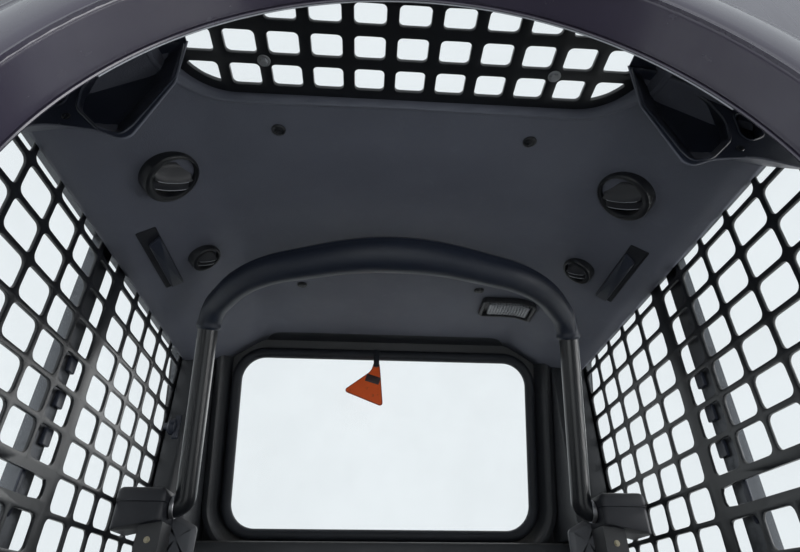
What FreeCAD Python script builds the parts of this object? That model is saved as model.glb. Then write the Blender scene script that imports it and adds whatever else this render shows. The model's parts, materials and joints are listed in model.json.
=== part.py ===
import FreeCAD, Part
import math
import os
from collections import namedtuple
from types import SimpleNamespace

# Operator cab of a skid steer loader, in millimetres.
# Frame: +X to the right in a view through the door, -Y towards the door,
# +Y towards the rear window, +Z up. The origin is the middle of the cab's footprint,
# on the face that it stands on.
# What hangs under the roof is placed by its drop from the roof rails, what sits at a side by
# its distance from the side screen, and what sits at an end by its distance from that end.

# Each row of the table: name of the size, value, what it is
SIZE_ROWS = [
    ("cab_width", 960, "over the side frames"),
    ("cab_length", 1300, "over the side frames"),
    ("frame_height", 1440, "top of the roof rails"),
    ("tube_width", 42, "side frame tube, across the cab"),
    ("tube_depth", 60, "side frame tube, in the plane of the side"),
    ("front_knee_drop", 580, "bend of the front post under the roof rails"),
    ("front_knee_setback", 160, "front post bend behind its foot"),
    ("front_top_setback", 205, "front post top behind its foot"),
    ("rear_knee_drop", 535, "bend of the rear post under the roof rails"),
    ("rear_lean", 18.9, "rear post and rear window, degrees from upright"),
    ("knee_radius", 200, "outer bend of the posts"),
    ("roof_radius", 40, "outer bend from post to roof rail"),
    ("tube_round", 12, "smallest inner bend of a tube"),
    ("fit_gap", 0.3, "gap between pieces that only lie against each other"),
    ("skin", 4, "sheet thickness"),
    ("glass", 5, "glass thickness"),
    ("base_beam", 60, "height and depth of the cross beams"),
    ("beam_inset", 20, "end beams inside the side frames' ends"),
    ("hold_down_radius", 9, "bolt holes in the front beam"),
    ("hold_down_inset", 58, "bolt holes from the side frames"),
    ("lug_bore", 12.5, "bore radius of the rear tilt lugs"),
    ("lug_width", 24, "thickness of a tilt lug"),
    ("lug_half", 300, "half the distance between the lugs"),
    ("lug_reach", 70, "lug in front of its beam"),
    ("lug_round", 28, "nose of a lug"),
    ("screen_plate", 5, "thickness of a side screen"),
    ("screen_lap", 30, "edge of the screen inside the frame's outer edge"),
    ("screen_bottom", 755, "lower edge of the side screens"),
    ("cell_pitch_long", 64.5, "side screen cells, along the cab"),
    ("cell_pitch_high", 48, "side screen cells, in height"),
    ("cell_bar", 10, "bar between two cells"),
    ("cell_top_drop", 109, "middle of the top row under the roof rails"),
    ("cell_rear_margin", 106.7, "rearmost column from the rear post, at the top row"),
    ("rear_columns", 5, "columns behind the mullion"),
    ("mullion_width", 28, "plain bar between the two fields of cells"),
    ("latch_row", 8, "row whose front cells give way to the window latch's slot"),
    ("latch_columns", 5, "cells in front of the mullion that the slot takes"),
    ("latch_high", 26, "height of the slot"),
    ("window_ring", 26, "side window frame profile"),
    ("window_depth", 20, "side window frame, across the cab"),
    ("window_off", 8, "side window frame outside the frame's inner face"),
    ("window_lift", 20, "side window frame above the screen's lower edge"),
    ("window_corner", 25, "corners of a side pane"),
    ("meeting_bar", 30, "bar between the two side panes"),
    ("meeting_lead", 37.3, "that bar in front of the mullion"),
    ("panel_off", 14, "lower side panel outside the frame's inner face"),
    ("rear_inset", 65, "rear wall face behind the posts' rear face"),
    ("wall_top_drop", 40, "top edge of the rear wall under the roof rails"),
    ("wall_bend", 136, "bend of the rear wall"),
    ("rear_window_margin", 114.7, "rear window from the side screens"),
    ("rear_window_height", 356, "clear height along the lean"),
    ("rear_window_drop", 251.5, "middle of the rear window under the roof rails"),
    ("rear_window_radius", 52, "corners of the rear window"),
    ("window_seat", 12, "wall hole round the clear window"),
    ("gasket_width", 22, "rear window gasket"),
    ("gasket_depth", 16, "rear window gasket, off the wall"),
    ("roof_skirt", 45, "roof skin turned down over the rails"),
    ("roof_hole_margin", 22, "roof hole outside the grille"),
    ("roof_flange", 12, "flange under the roof hole's edge"),
    ("grille_drop", 25, "underside of the roof grille under the roof rails"),
    ("grille_plate", 6, "thickness of the roof grille"),
    ("grille_overhang", 22, "roof grille outside the headliner's flat middle"),
    ("grille_setback", 53, "roof grille behind the front posts' tops"),
    ("grille_length", 141, "roof grille, front to back"),
    ("grille_front_corner", 15, "front corners of the roof grille"),
    ("grille_rear_corner", 78, "rear corners of the roof grille"),
    ("grille_pitch_wide", 49.6, "roof grille cells, across"),
    ("grille_pitch_long", 43.6, "roof grille cells, along"),
    ("grille_bar", 14, "bar between two roof cells"),
    ("grille_rear_margin", 29, "middle of the rearmost row from the rear edge"),
    ("grille_chamfer", 6, "corners of a roof cell"),
    ("roof_beam_deep", 30, "rear roof beam, front to back"),
    ("roof_beam_high", 34, "rear roof beam, height"),
    ("roof_beam_gap", 6, "rear roof beam in front of the rear wall"),
    ("liner_drop", 42, "underside of the headliner under the roof rails"),
    ("liner_skin", 5, "thickness of the headliner"),
    ("liner_side_gap", 4.7, "headliner to the side screens"),
    ("liner_setback", 45, "headliner behind the front posts' tops"),
    ("liner_blend", 20, "bends of the headliner"),
    ("liner_rim", 4, "wall that joins the headliner to the roof grille"),
    ("cove_width", 130, "sloped side of the headliner"),
    ("cove_slope", 0.6, "fall of the cove per unit of width"),
    ("cove_flange", 28, "level edge outside the cove"),
    ("vent_ring", 8, "depth of a vent's ring"),
    ("vent_blade", 5, "depth of a vent's blades"),
    ("vent_slot", 8, "gap between the two blades of a vent"),
    ("side_lamp_wide", 30, "side lamp, across"),
    ("side_lamp_long", 150, "side lamp, along"),
    ("side_lamp_deep", 8, "side lamp, off the cove"),
    ("side_lamp_inset", 30, "side lamp from the cove's outer edge"),
    ("side_lamp_setback", 459, "side lamp behind the front posts' tops"),
    ("door_frame_depth", 38, "front panel, front to back"),
    ("door_jamb", 132.7, "front panel at each side of the door opening"),
    ("door_top_drop", 64, "top of the door opening under the roof rails"),
    ("door_sill", 120, "bottom of the door opening"),
    ("door_corner", 60, "lower corners of the door opening"),
    ("door_rim_width", 46, "raised rim round the door opening"),
    ("door_rim", 7, "height of that rim"),
    ("pod_setback", 123, "corner pods behind the front posts' tops"),
    ("pod_depth", 60, "corner pods, front to back"),
    ("pod_hollow", 48, "depth of a pod's hollows"),
    ("pivot_setback", 392, "restraint bar pivot in front of the rear end"),
    ("pivot_drop", 425, "restraint bar pivot under the roof rails"),
    ("bar_foot_gap", 21, "middle of an arm from the pivot housing"),
    ("bar_tube", 30, "outer diameter of the bar's tube"),
    ("bar_elbow", 20, "bend at an arm's lower end"),
    ("bend_step", 30, "most degrees of a bend in one span"),
    ("sleeve_end", 35, "grip sleeve's diameter at its ends"),
    ("sleeve_middle", 57, "grip sleeve's diameter at its middle"),
    ("sleeve_fullness", 0.6, "power of the sleeve's swell; under 1 is fuller at the sides"),
    ("pin_radius", 12, "pivot pin of the restraint bar"),
    ("pin_gap", 0.1, "running clearance round the pin"),
    ("pin_length", 24, "pin inside the housing"),
    ("arm_gap", 1, "arm's end from the pivot housing"),
    ("housing_side_gap", 2.7, "pivot housing to the side screens"),
    ("housing_wide", 78, "pivot housing, across"),
    ("housing_deep", 80, "pivot housing, front to back"),
    ("housing_high", 50, "pivot housing at the post"),
    ("housing_tip", 16, "point of the housing under the pivot post's top"),
    ("housing_round", 12, "upper corners of the housing"),
    ("post_wide", 36, "pivot post, across"),
    ("post_deep", 50, "pivot post, front to back"),
    ("platform_height", 330, "top of the seat platform"),
    ("platform_setback", 710, "front of the seat platform from the rear end"),
    ("platform_bend", 14, "front edge of the seat platform"),
    ("seat_wide", 470, "seat cushion, across"),
    ("seat_long", 450, "seat cushion, front to back"),
    ("seat_thick", 104, "seat cushion"),
    ("seat_setback", 225, "rear of the seat cushion from the rear end"),
    ("seat_round", 40, "edges of the seat cushion"),
    ("seat_base_wide", 360, "seat base, across"),
    ("seat_base_long", 400, "seat base, front to back"),
    ("seat_base_high", 46, "seat base"),
    ("back_thick", 120, "seat back at its foot"),
    ("back_lean", 60, "seat back's rear edge, top behind foot"),
    ("back_gap", 59, "seat back's top under the rear window's sill"),
    ("back_round", 32, "edges of the seat back"),
    ("console_wide", 90, "side console"),
    ("console_lead", 120, "console in front of the seat platform"),
    ("console_long", 400, "console, front to back"),
    ("console_high", 306, "console above the platform"),
    ("console_fall", 20, "console lower at its rear"),
    ("console_nose", 80, "console's front edge under its top"),
    ("console_rake", 0.75, "slope back of that nose per unit of height"),
    ("lever_setback", 110, "control lever behind the console's front"),
    ("grip_chamfer", 8, "corners of a control lever"),
    ("pedal_wide", 120, "pedal, across"),
    ("pedal_long", 180, "pedal, front to back"),
    ("pedal_thick", 14, "pedal"),
    ("pedal_half", 170, "half the distance between the pedals"),
    ("lamp_wide", 108, "dome lamp, across"),
    ("lamp_long", 68, "dome lamp, front to back"),
    ("lamp_deep", 14, "dome lamp under the headliner"),
    ("lamp_inset", 87, "inner side of the dome lamp from the edge of the headliner's flat"),
    ("lamp_rear_gap", 160, "dome lamp in front of the rear window's top"),
    ("clip_radius", 8, "headliner clips"),
    ("clip_deep", 4, "headliner clips, off the headliner"),
    ("surround_gap", 16, "moulding round the rear window from its gasket"),
    ("surround_width", 14, "that moulding, across"),
    ("surround_depth", 34, "that moulding, off the wall"),
    ("trim_deep", 46, "pillar trim at its top, off the wall"),
    ("trim_edge", 28, "bevel on a pillar trim's inner edge"),
    ("trim_side_gap", 1.7, "pillar trim to the side screens"),
    ("ledge_deep", 60, "ledge under the rear window"),
    ("ledge_high", 24, "thickness of the ledge"),
    ("ledge_gap", 1, "ledge under the gasket"),
    ("tag_thick", 2, "thickness of the exit tag"),
    ("tag_strap", 14, "width of the exit tag's strap"),
    ("tag_drop", 68, "top of the exit tag's strap under the roof rails"),
]

doc = FreeCAD.newDocument("skid_steer_cab")
sheet = doc.addObject("Spreadsheet::Sheet", "sizes")
for row, (alias, value, meaning) in enumerate(SIZE_ROWS, start=1):
    sheet.set("A%d" % row, meaning)
    sheet.set("B%d" % row, str(value))
    sheet.setAlias("B%d" % row, alias)
doc.recompute()
size = SimpleNamespace(**{alias: float(sheet.get(alias)) for alias, value, meaning in SIZE_ROWS})

INNER_WIDTH = "sizes.cab_width - 2 * (sizes.tube_width + sizes.screen_plate + sizes.fit_gap)"
RIGHT_AND_LEFT = (("right", 1), ("left", -1))
X_AXIS = FreeCAD.Vector(1, 0, 0)
Y_AXIS = FreeCAD.Vector(0, 1, 0)
Z_AXIS = FreeCAD.Vector(0, 0, 1)
THROUGH = 20 * size.skin
nodes = []


def vector(x, y, z=0.0):
    return FreeCAD.Vector(x, y, z)


def place(x=0.0, y=0.0, z=0.0, axis=X_AXIS, angle=0.0):
    return FreeCAD.Placement(vector(x, y, z), FreeCAD.Rotation(axis, angle))


def rounded(points, radii):
    """Edges of a closed outline in a plane whose corners are arcs."""
    corners = [vector(*point) for point in points]
    if isinstance(radii, (int, float)):
        radii = [radii] * len(corners)
    spans = []
    for index, corner in enumerate(corners):
        before = (corners[index - 1] - corner).normalize()
        after = (corners[(index + 1) % len(corners)] - corner).normalize()
        half = before.getAngle(after) / 2
        radius = radii[index]
        if radius <= 0 or half > math.pi / 2 - 1e-4:
            spans.append((corner, None, corner))
            continue
        reach = radius / math.tan(half)
        bisector = (before + after).normalize()
        middle = corner + bisector * (radius / math.sin(half) - radius)
        spans.append((corner + before * reach, middle, corner + after * reach))
    edges = []
    for index, (start, middle, end) in enumerate(spans):
        if middle is not None:
            edges.append(Part.Arc(start, middle, end))
        following = spans[(index + 1) % len(spans)][0]
        if (following - end).Length > 1e-6:
            edges.append(Part.LineSegment(end, following))
    return edges


def box_outline(x_low, y_low, x_high, y_high, radius=0.0):
    return rounded([(x_low, y_low), (x_high, y_low), (x_high, y_high), (x_low, y_high)], radius)


def chamfered(x_low, y_low, x_high, y_high, chamfer):
    points = [(x_low + chamfer, y_low), (x_high - chamfer, y_low), (x_high, y_low + chamfer),
              (x_high, y_high - chamfer), (x_high - chamfer, y_high), (x_low + chamfer, y_high),
              (x_low, y_high - chamfer), (x_low, y_low + chamfer)]
    return rounded(points, 0)


def circle(x, y, radius):
    return [Part.Circle(vector(x, y), Z_AXIS, radius)]


def pad(name, role, outlines, depth, where=None, backwards=False):
    """A body with one sketch on an origin plane, padded by a length from the sheet."""
    body = doc.addObject("PartDesign::Body", name)
    body.Label = name
    sketch = body.newObject("Sketcher::SketchObject", name + "_outline")
    plane = [feature for feature in body.Origin.OriginFeatures if feature.Role == role][0]
    sketch.AttachmentSupport = [(plane, "")]
    sketch.MapMode = "FlatFace"
    for outline in outlines:
        sketch.addGeometry(outline, False)
    extrusion = body.newObject("PartDesign::Pad", name + "_pad")
    extrusion.Profile = sketch
    extrusion.setExpression("Length", depth)
    extrusion.Reversed = backwards
    body.Tip = extrusion
    if where is not None:
        body.Placement = where
    return body


def cut(name, base, tool):
    result = doc.addObject("Part::Cut", name)
    result.Label = name
    result.Base = base
    result.Tool = tool
    return result


def fuse(name, pieces):
    result = doc.addObject("Part::MultiFuse", name)
    result.Label = name
    result.Shapes = pieces
    return result


def block(name, lengths, corner):
    """A box whose three lengths are expressions of the sheet; corner is its lowest corner."""
    result = doc.addObject("Part::Box", name)
    result.Label = name
    for side, length in zip(("Length", "Width", "Height"), lengths):
        result.setExpression(side, length)
    result.Placement = place(*corner)
    return result


def rod(name, radius, height, where):
    result = doc.addObject("Part::Cylinder", name)
    result.Label = name
    result.setExpression("Radius", radius)
    result.setExpression("Height", height)
    result.Placement = where
    return result


def group(name, pieces):
    """Like pieces on one body that don't touch, as one sub-part."""
    result = doc.addObject("Part::Compound", name)
    result.Label = name
    result.Links = pieces
    return result


def feature(name, shape):
    result = doc.addObject("Part::Feature", name)
    result.Label = name
    result.Shape = shape
    return result


def prism(outline):
    """An upright solid over a flat outline, from the floor to above the roof."""
    face = Part.Face(Part.Wire([edge.toShape() for edge in outline]))
    return face.extrude(Z_AXIS * 2 * size.frame_height)


def loft(sections):
    """A solid through outlines, straight from one to the next; each is (edges, placement)."""
    wires = []
    for edges, where in sections:
        wire = Part.Wire([edge.toShape() for edge in edges])
        wire.Placement = where
        wires.append(wire)
    sides = Part.makeLoft(wires, True, True).Faces
    shell = Part.Shell([Part.Face(side.OuterWire) if side.findPlane() else side for side in sides])
    shell.sewShape()
    return Part.Solid(shell)


def keep(piece):
    nodes.append(piece)
    return piece


# Side profile of the frame

half_width = size.cab_width / 2
half_length = size.cab_length / 2
inner_face = half_width - size.tube_width
clear_face = inner_face - size.screen_plate - size.fit_gap
front_knee = size.frame_height - size.front_knee_drop
rear_knee = size.frame_height - size.rear_knee_drop
front_top = -half_length + size.front_top_setback
lean = math.radians(size.rear_lean)
FRAME_POINTS = [
    (-half_length, 0.0),
    (-half_length + size.front_knee_setback, front_knee),
    (front_top, size.frame_height),
    (half_length - size.rear_knee_drop * math.tan(lean), size.frame_height),
    (half_length, rear_knee),
    (half_length, 0.0),
]
FRAME_RADII = [0.0, size.knee_radius, size.roof_radius, size.roof_radius, size.knee_radius, 0.0]


def inset(points, distance):
    """The closed outline moved inwards by a distance, corner by corner."""
    moved = []
    for index, point in enumerate(points):
        corner = vector(*point)
        before = (vector(*points[index - 1]) - corner).normalize()
        after = (vector(*points[(index + 1) % len(points)]) - corner).normalize()
        bisector = before + after
        if bisector.Length < 1e-6:
            bisector = vector(-after.y, after.x)
        bisector.normalize()
        centre = vector(0, size.frame_height / 2)
        if bisector.dot(centre - corner) < 0:
            bisector = bisector * -1
        half = before.getAngle(after) / 2
        shifted = corner + bisector * (distance / math.sin(half))
        moved.append((shifted.x, shifted.y))
    return moved


def shrunk(radii, distance):
    return [max(radius - distance, size.tube_round) for radius in radii]


def drilled(name, base, hole_radius, centres, height):
    """A piece with upright holes right through it from the floor up."""
    tools = [rod("%s_hole_%d" % (name, index), hole_radius, height, place(x, y, -1))
             for index, (x, y) in enumerate(centres)]
    return cut(name, base, fuse(name + "_holes", tools))


def front_face(height, distance=0.0):
    """Y of the front post's outer line moved back by a distance, at a height."""
    foot, knee, top = inset(FRAME_POINTS, distance)[:3]
    low, high = (foot, knee) if height < knee[1] else (knee, top)
    return low[0] + (high[0] - low[0]) * (height - low[1]) / (high[1] - low[1])


def rear_face(height, distance=0.0):
    """Y of the rear post's outer line moved forward by a distance, at a height."""
    top, knee, foot = inset(FRAME_POINTS, distance)[3:]
    if height < knee[1]:
        return knee[0]
    return knee[0] + (top[0] - knee[0]) * (height - knee[1]) / (top[1] - knee[1])


for side, sign in RIGHT_AND_LEFT:
    keep(pad("side_frame_" + side, "YZ_Plane",
             [rounded(FRAME_POINTS, FRAME_RADII),
              rounded(inset(FRAME_POINTS, size.tube_depth), shrunk(FRAME_RADII, size.tube_depth))],
             "sizes.tube_width",
             place(x=inner_face if sign > 0 else -half_width)))

# Cross beams between the side frames

platform_front = half_length - size.platform_setback
BeamRow = namedtuple("BeamRow", "name front")
BEAM_ROWS = [
    BeamRow("base_beam_front", -half_length + size.beam_inset),
    BeamRow("base_beam_middle", platform_front),
    BeamRow("base_beam_rear", half_length - size.beam_inset - size.base_beam),
]
beams = [block(row.name, ("sizes.cab_width - 2 * sizes.tube_width", "sizes.base_beam", "sizes.base_beam"),
               (-inner_face, row.front, 0)) for row in BEAM_ROWS]
bolt_line = BEAM_ROWS[0].front + size.base_beam / 2
beams[0] = drilled("base_beam_front_drilled", beams[0], "sizes.hold_down_radius",
                   [(sign * (inner_face - size.hold_down_inset), bolt_line)
                    for side, sign in RIGHT_AND_LEFT],
                   "2 * sizes.base_beam")
keep(group("base_beams", beams))
lug_rear = BEAM_ROWS[2].front
lug_front = lug_rear - size.lug_reach
keep(group("tilt_lugs", [
    pad("tilt_lug_" + side, "YZ_Plane",
        [rounded([(lug_front, 0), (lug_rear, 0), (lug_rear, size.base_beam), (lug_front, size.base_beam)],
                 [size.lug_round, 0, 0, size.lug_round]),
         circle(lug_front + size.base_beam / 2, size.base_beam / 2, size.lug_bore)],
        "sizes.lug_width", place(x=sign * size.lug_half - size.lug_width / 2))
    for side, sign in RIGHT_AND_LEFT]))

# Side screens: one plate a side, its cells cut right through

def side_outline(distance, bottom, corner):
    """Outline of a side between a bottom height and the roof, a distance inside the frame."""
    corners = inset(FRAME_POINTS, distance)
    points = [(front_face(bottom, distance), bottom), corners[1], corners[2],
              corners[3], corners[4], (corners[5][0], bottom)]
    radii = shrunk(FRAME_RADII, distance)
    if corners[4][1] < bottom:
        points[4:] = [(rear_face(bottom, distance), bottom)]
        radii[4:] = [0.0]
    if corners[1][1] < bottom:
        points[:2] = [(front_face(bottom, distance), bottom)]
        radii[:2] = [0.0]
    radii[0] = radii[-1] = corner
    return rounded(points, radii)


cell_top = size.frame_height - size.cell_top_drop
cell_long = size.cell_pitch_long - size.cell_bar
cell_high = size.cell_pitch_high - size.cell_bar
rear_column = rear_face(cell_top, size.tube_depth) - size.cell_rear_margin
mullion_rear = rear_column - (size.rear_columns - 1) * size.cell_pitch_long - cell_long / 2
front_column = mullion_rear - size.mullion_width - cell_long / 2


def screen_cells():
    """Cells from the top row down and from the rear column forward, as many as there is room for."""
    columns = [rear_column - index * size.cell_pitch_long for index in range(int(size.rear_columns))]
    most = int(size.cab_length / size.cell_pitch_long)
    columns += [front_column - index * size.cell_pitch_long for index in range(most)]
    rows = int((cell_top - cell_high / 2 - size.screen_bottom) / size.cell_pitch_high) + 1
    slot_middle = cell_top - (size.latch_row - 1) * size.cell_pitch_high
    slot_front = front_column - (size.latch_columns - 1) * size.cell_pitch_long - cell_long / 2
    slot_rear = front_column + cell_long / 2
    cells = [chamfered(slot_front, slot_middle - size.latch_high / 2, slot_rear,
                       slot_middle + size.latch_high / 2, size.latch_high / 4)]
    for row in range(rows):
        z_low = cell_top - row * size.cell_pitch_high - cell_high / 2
        for column in columns:
            y_low = column - cell_long / 2
            in_slot = row + 1 == size.latch_row and slot_front - 1 < y_low < slot_rear
            if in_slot or y_low < front_face(z_low, size.tube_depth) + size.cell_bar / 2:
                continue
            cells.append(box_outline(y_low, z_low, y_low + cell_long, z_low + cell_high))
    return cells


for side, sign in RIGHT_AND_LEFT:
    keep(pad("side_screen_" + side, "YZ_Plane",
             [side_outline(size.screen_lap, size.screen_bottom, size.tube_round)] + screen_cells(),
             "sizes.screen_plate",
             place(x=inner_face - size.screen_plate if sign > 0 else -inner_face)))

# Side windows: a ring outside the screen with two panes that meet behind a bar

window_bottom = size.screen_bottom + size.window_lift
pane_low = window_bottom + size.window_ring
pane_high = size.frame_height - size.tube_depth - size.window_ring
ring_inset = size.tube_depth + size.window_ring
ring_near = inner_face + size.window_off
pane_near = ring_near + size.window_off
meeting = mullion_rear - size.mullion_width / 2 - size.meeting_lead


def pane_outline(meeting_edge, towards):
    """A side pane between the meeting bar and the front (-1) or the rear (+1) post."""
    face = front_face if towards < 0 else rear_face
    knee = inset(FRAME_POINTS, ring_inset)[1 if towards < 0 else 4]
    points = [(meeting_edge, pane_low), (meeting_edge, pane_high), (face(pane_high, ring_inset), pane_high),
              knee, (face(pane_low, ring_inset), pane_low)]
    radii = [0, 0, size.window_corner, size.window_corner, size.window_corner]
    if knee[1] < pane_low + size.window_corner:
        del points[3], radii[3]
    return rounded(points, radii)


for side, sign in RIGHT_AND_LEFT:
    panes = [pane_outline(meeting + way * size.meeting_bar / 2, way) for way in (-1, 1)]
    outer = side_outline(size.tube_depth + size.fit_gap, window_bottom, 0.0)
    keep(pad("window_frame_" + side, "YZ_Plane", [outer] + panes, "sizes.window_depth",
             place(x=ring_near if sign > 0 else -ring_near - size.window_depth)))
    keep(pad("window_panes_" + side, "YZ_Plane", panes, "sizes.glass",
             place(x=pane_near if sign > 0 else -pane_near - size.glass)))

# Lower side panels, between the base rails and the windows

panel_near = inner_face + size.panel_off
for side, sign in RIGHT_AND_LEFT:
    inside = size.tube_depth
    low, high = inside, window_bottom - size.fit_gap
    corners = [(front_face(low, inside), low), (front_face(high, inside), high),
               (rear_face(high, inside), high), (rear_face(low, inside), low)]
    radii = [size.tube_round, 0, 0, size.tube_round]
    keep(pad("lower_panel_" + side, "YZ_Plane", [rounded(corners, radii)], "sizes.skin",
             place(x=panel_near if sign > 0 else -panel_near - size.skin)))

# Rear wall: one sheet bent at the knee of the posts, with the rear window cut out

wall_top = size.frame_height - size.wall_top_drop
wall_front = inset(FRAME_POINTS, size.rear_inset)
wall_back = inset(FRAME_POINTS, size.rear_inset - size.skin)
wall_points = [
    (wall_back[4][0], size.base_beam),
    wall_back[4],
    (rear_face(wall_top, size.rear_inset - size.skin), wall_top),
    (rear_face(wall_top, size.rear_inset), wall_top),
    wall_front[4],
    (wall_front[4][0], size.base_beam),
]
wall_blank = pad("rear_wall_blank", "YZ_Plane",
                 [rounded(wall_points, [0, size.wall_bend + size.skin, 0, 0, size.wall_bend, 0])],
                 INNER_WIDTH, place(x=-clear_face))
window_half = clear_face - size.rear_window_margin
window_middle = size.frame_height - size.rear_window_drop
window_rise = size.rear_window_height / 2 * math.cos(lean)


def on_rear_wall(depth):
    """Placement in the leaning wall's plane at the window's middle, depth towards the cab."""
    y = rear_face(window_middle, size.rear_inset) - depth * math.cos(lean)
    return place(y=y, z=window_middle - depth * math.sin(lean), angle=size.rear_lean)


def rear_window_outline(margin):
    half_high = size.rear_window_height / 2
    return box_outline(-window_half - margin, -half_high - margin, window_half + margin, half_high + margin,
                       size.rear_window_radius + margin)


wall_hole = pad("rear_wall_hole", "XZ_Plane", [rear_window_outline(size.window_seat)],
                "%g" % THROUGH, on_rear_wall(-THROUGH / 2))
keep(cut("rear_wall", wall_blank, wall_hole))
keep(pad("rear_gasket", "XZ_Plane", [rear_window_outline(size.gasket_width), rear_window_outline(0)],
         "sizes.gasket_depth", on_rear_wall(size.fit_gap)))
keep(pad("rear_glass", "XZ_Plane", [rear_window_outline(-size.fit_gap)], "sizes.glass",
         on_rear_wall(size.skin)))

# Roof: a skin wrapped over the rails, a flange round its window, the glass and the grille under it

lift = inset(FRAME_POINTS, -size.skin)
skirt = size.frame_height - size.roof_skirt
roof_points = [
    (front_face(skirt), skirt), FRAME_POINTS[2], FRAME_POINTS[3], (rear_face(skirt), skirt),
    (rear_face(skirt, -size.skin), skirt), lift[3], lift[2], (front_face(skirt, -size.skin), skirt),
]
outer_bend = size.roof_radius + size.skin
roof_blank = pad("roof_blank", "YZ_Plane",
                 [rounded(roof_points, [0, size.roof_radius, size.roof_radius, 0,
                                        0, outer_bend, outer_bend, 0])],
                 "sizes.cab_width", place(x=-half_width))
cove_outer = clear_face - size.liner_side_gap
cove_edge = cove_outer - size.cove_flange
liner_flat = cove_edge - size.cove_width
grille_half = liner_flat + size.grille_overhang
grille_front = front_top + size.grille_setback
grille_rear = grille_front + size.grille_length


def roof_window_outline(margin):
    return rounded([(-grille_half - margin, grille_front), (grille_half + margin, grille_front),
                    (grille_half + margin, grille_rear + margin),
                    (-grille_half - margin, grille_rear + margin)],
                   [size.grille_front_corner, size.grille_front_corner,
                    size.grille_rear_corner + margin, size.grille_rear_corner + margin])


grille_low = size.frame_height - size.grille_drop
glass_low = grille_low + size.grille_plate + size.fit_gap
flange_low = glass_low + size.glass + size.fit_gap
roof_hole = pad("roof_hole", "XY_Plane", [roof_window_outline(size.roof_hole_margin)],
                "%g" % THROUGH, place(z=size.frame_height - THROUGH / 2))
flange_blank = pad("roof_flange_blank", "XY_Plane",
                   [roof_window_outline(size.roof_hole_margin + size.roof_flange)],
                   "sizes.frame_height - %g" % flange_low, place(z=flange_low))
keep(cut("roof_panel", fuse("roof_skin_and_flange", [roof_blank, flange_blank]), roof_hole))

grille_blank = pad("roof_grille_blank", "XY_Plane", [roof_window_outline(0)], "sizes.grille_plate",
                   place(z=grille_low))
rim = size.grille_rear_margin - (size.grille_pitch_long - size.grille_bar) / 2
room = prism(rounded([(-grille_half + rim, grille_front + rim), (grille_half - rim, grille_front + rim),
                      (grille_half - rim, grille_rear - rim), (-grille_half + rim, grille_rear - rim)],
                     [0, 0, size.grille_rear_corner - rim, size.grille_rear_corner - rim]))
grille_holes = []
cell_wide = size.grille_pitch_wide - size.grille_bar
cell_deep = size.grille_pitch_long - size.grille_bar
grille_columns = int((2 * grille_half - size.grille_bar) / size.grille_pitch_wide)
grille_rows = int((size.grille_length - size.grille_bar / 2) / size.grille_pitch_long)
for row in range(grille_rows):
    y_low = grille_rear - size.grille_rear_margin - row * size.grille_pitch_long - cell_deep / 2
    for column in range(grille_columns):
        x_low = (column - (grille_columns - 1) / 2) * size.grille_pitch_wide - cell_wide / 2
        cell = chamfered(x_low, y_low, x_low + cell_wide, y_low + cell_deep, size.grille_chamfer)
        grille_holes.append(prism(cell).common(room))
keep(cut("roof_grille", grille_blank, feature("roof_grille_holes", Part.makeCompound(grille_holes))))
keep(pad("roof_glass", "XY_Plane", [roof_window_outline(size.roof_hole_margin + size.roof_flange)],
         "sizes.glass", place(z=glass_low)))
keep(block("roof_beam_rear", (INNER_WIDTH, "sizes.roof_beam_deep", "sizes.roof_beam_high"),
           (-clear_face,
            rear_face(size.frame_height, size.rear_inset) - size.roof_beam_gap - size.roof_beam_deep,
            size.frame_height - size.roof_beam_high - 1)))

# Headliner: a moulded shell whose sides fall into coves, with a wall up to the roof grille

flat_low = size.frame_height - size.liner_drop
cove_low = flat_low - size.cove_width * size.cove_slope
liner_front = front_top + size.liner_setback
liner_half = [(0, flat_low), (liner_flat, flat_low), (cove_edge, cove_low), (cove_outer, cove_low)]
liner_lower = [(-x, z) for x, z in reversed(liner_half[1:])] + liner_half[1:]
liner_points = liner_lower + [(x, z + size.liner_skin) for x, z in reversed(liner_lower)]
bend = size.liner_blend
tight = bend - size.liner_skin
liner_blank = pad("headliner_blank", "XZ_Plane",
                  [rounded(liner_points, [0, tight, bend, bend, tight, 0, 0, bend, tight, tight, bend, 0])],
                  "sizes.cab_length", place(y=liner_front + size.cab_length))
liner_hole = pad("headliner_hole", "XY_Plane", [roof_window_outline(-size.liner_rim / 2)],
                 "%g" % THROUGH, place(z=flat_low - THROUGH / 2))
rim_low = flat_low + size.liner_skin / 2
liner_rim = pad("headliner_rim", "XY_Plane",
                [roof_window_outline(size.liner_rim / 2), roof_window_outline(-size.liner_rim / 2)],
                "%g" % (grille_low - size.fit_gap - rim_low), place(z=rim_low))
behind_wall = block("behind_wall", ("sizes.cab_width", "sizes.cab_length", "sizes.frame_height"),
                    (-half_width, 0, 0))
behind_wall.Placement = on_rear_wall(size.fit_gap) * place(x=-half_width, z=-size.frame_height / 2)
keep(cut("headliner", fuse("headliner_whole", [cut("headliner_open", liner_blank, liner_hole), liner_rim]),
         behind_wall))
above_points = [(-size.cab_width, cove_low), *liner_lower[1:-1], (size.cab_width, cove_low),
                (size.cab_width, size.frame_height), (-size.cab_width, size.frame_height)]


def above_liner(name):
    """Everything over the headliner's underside, lowered by a fit gap."""
    return pad(name + "_above", "XZ_Plane", [rounded(above_points, [0, tight, bend, bend, tight, 0, 0, 0])],
               "sizes.cab_length", place(y=size.cab_length / 2, z=-size.fit_gap))


def on_cove(out, y, depth, sign):
    """Placement on a cove's underside, out from the flat middle; its Z points into the cab."""
    slope = math.atan(size.cove_slope)
    x = liner_flat + out
    z = flat_low - out * size.cove_slope
    return place(sign * (x - depth * math.sin(slope)), y, z - depth * math.cos(slope),
                 Y_AXIS, 180 + sign * math.degrees(slope))


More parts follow.
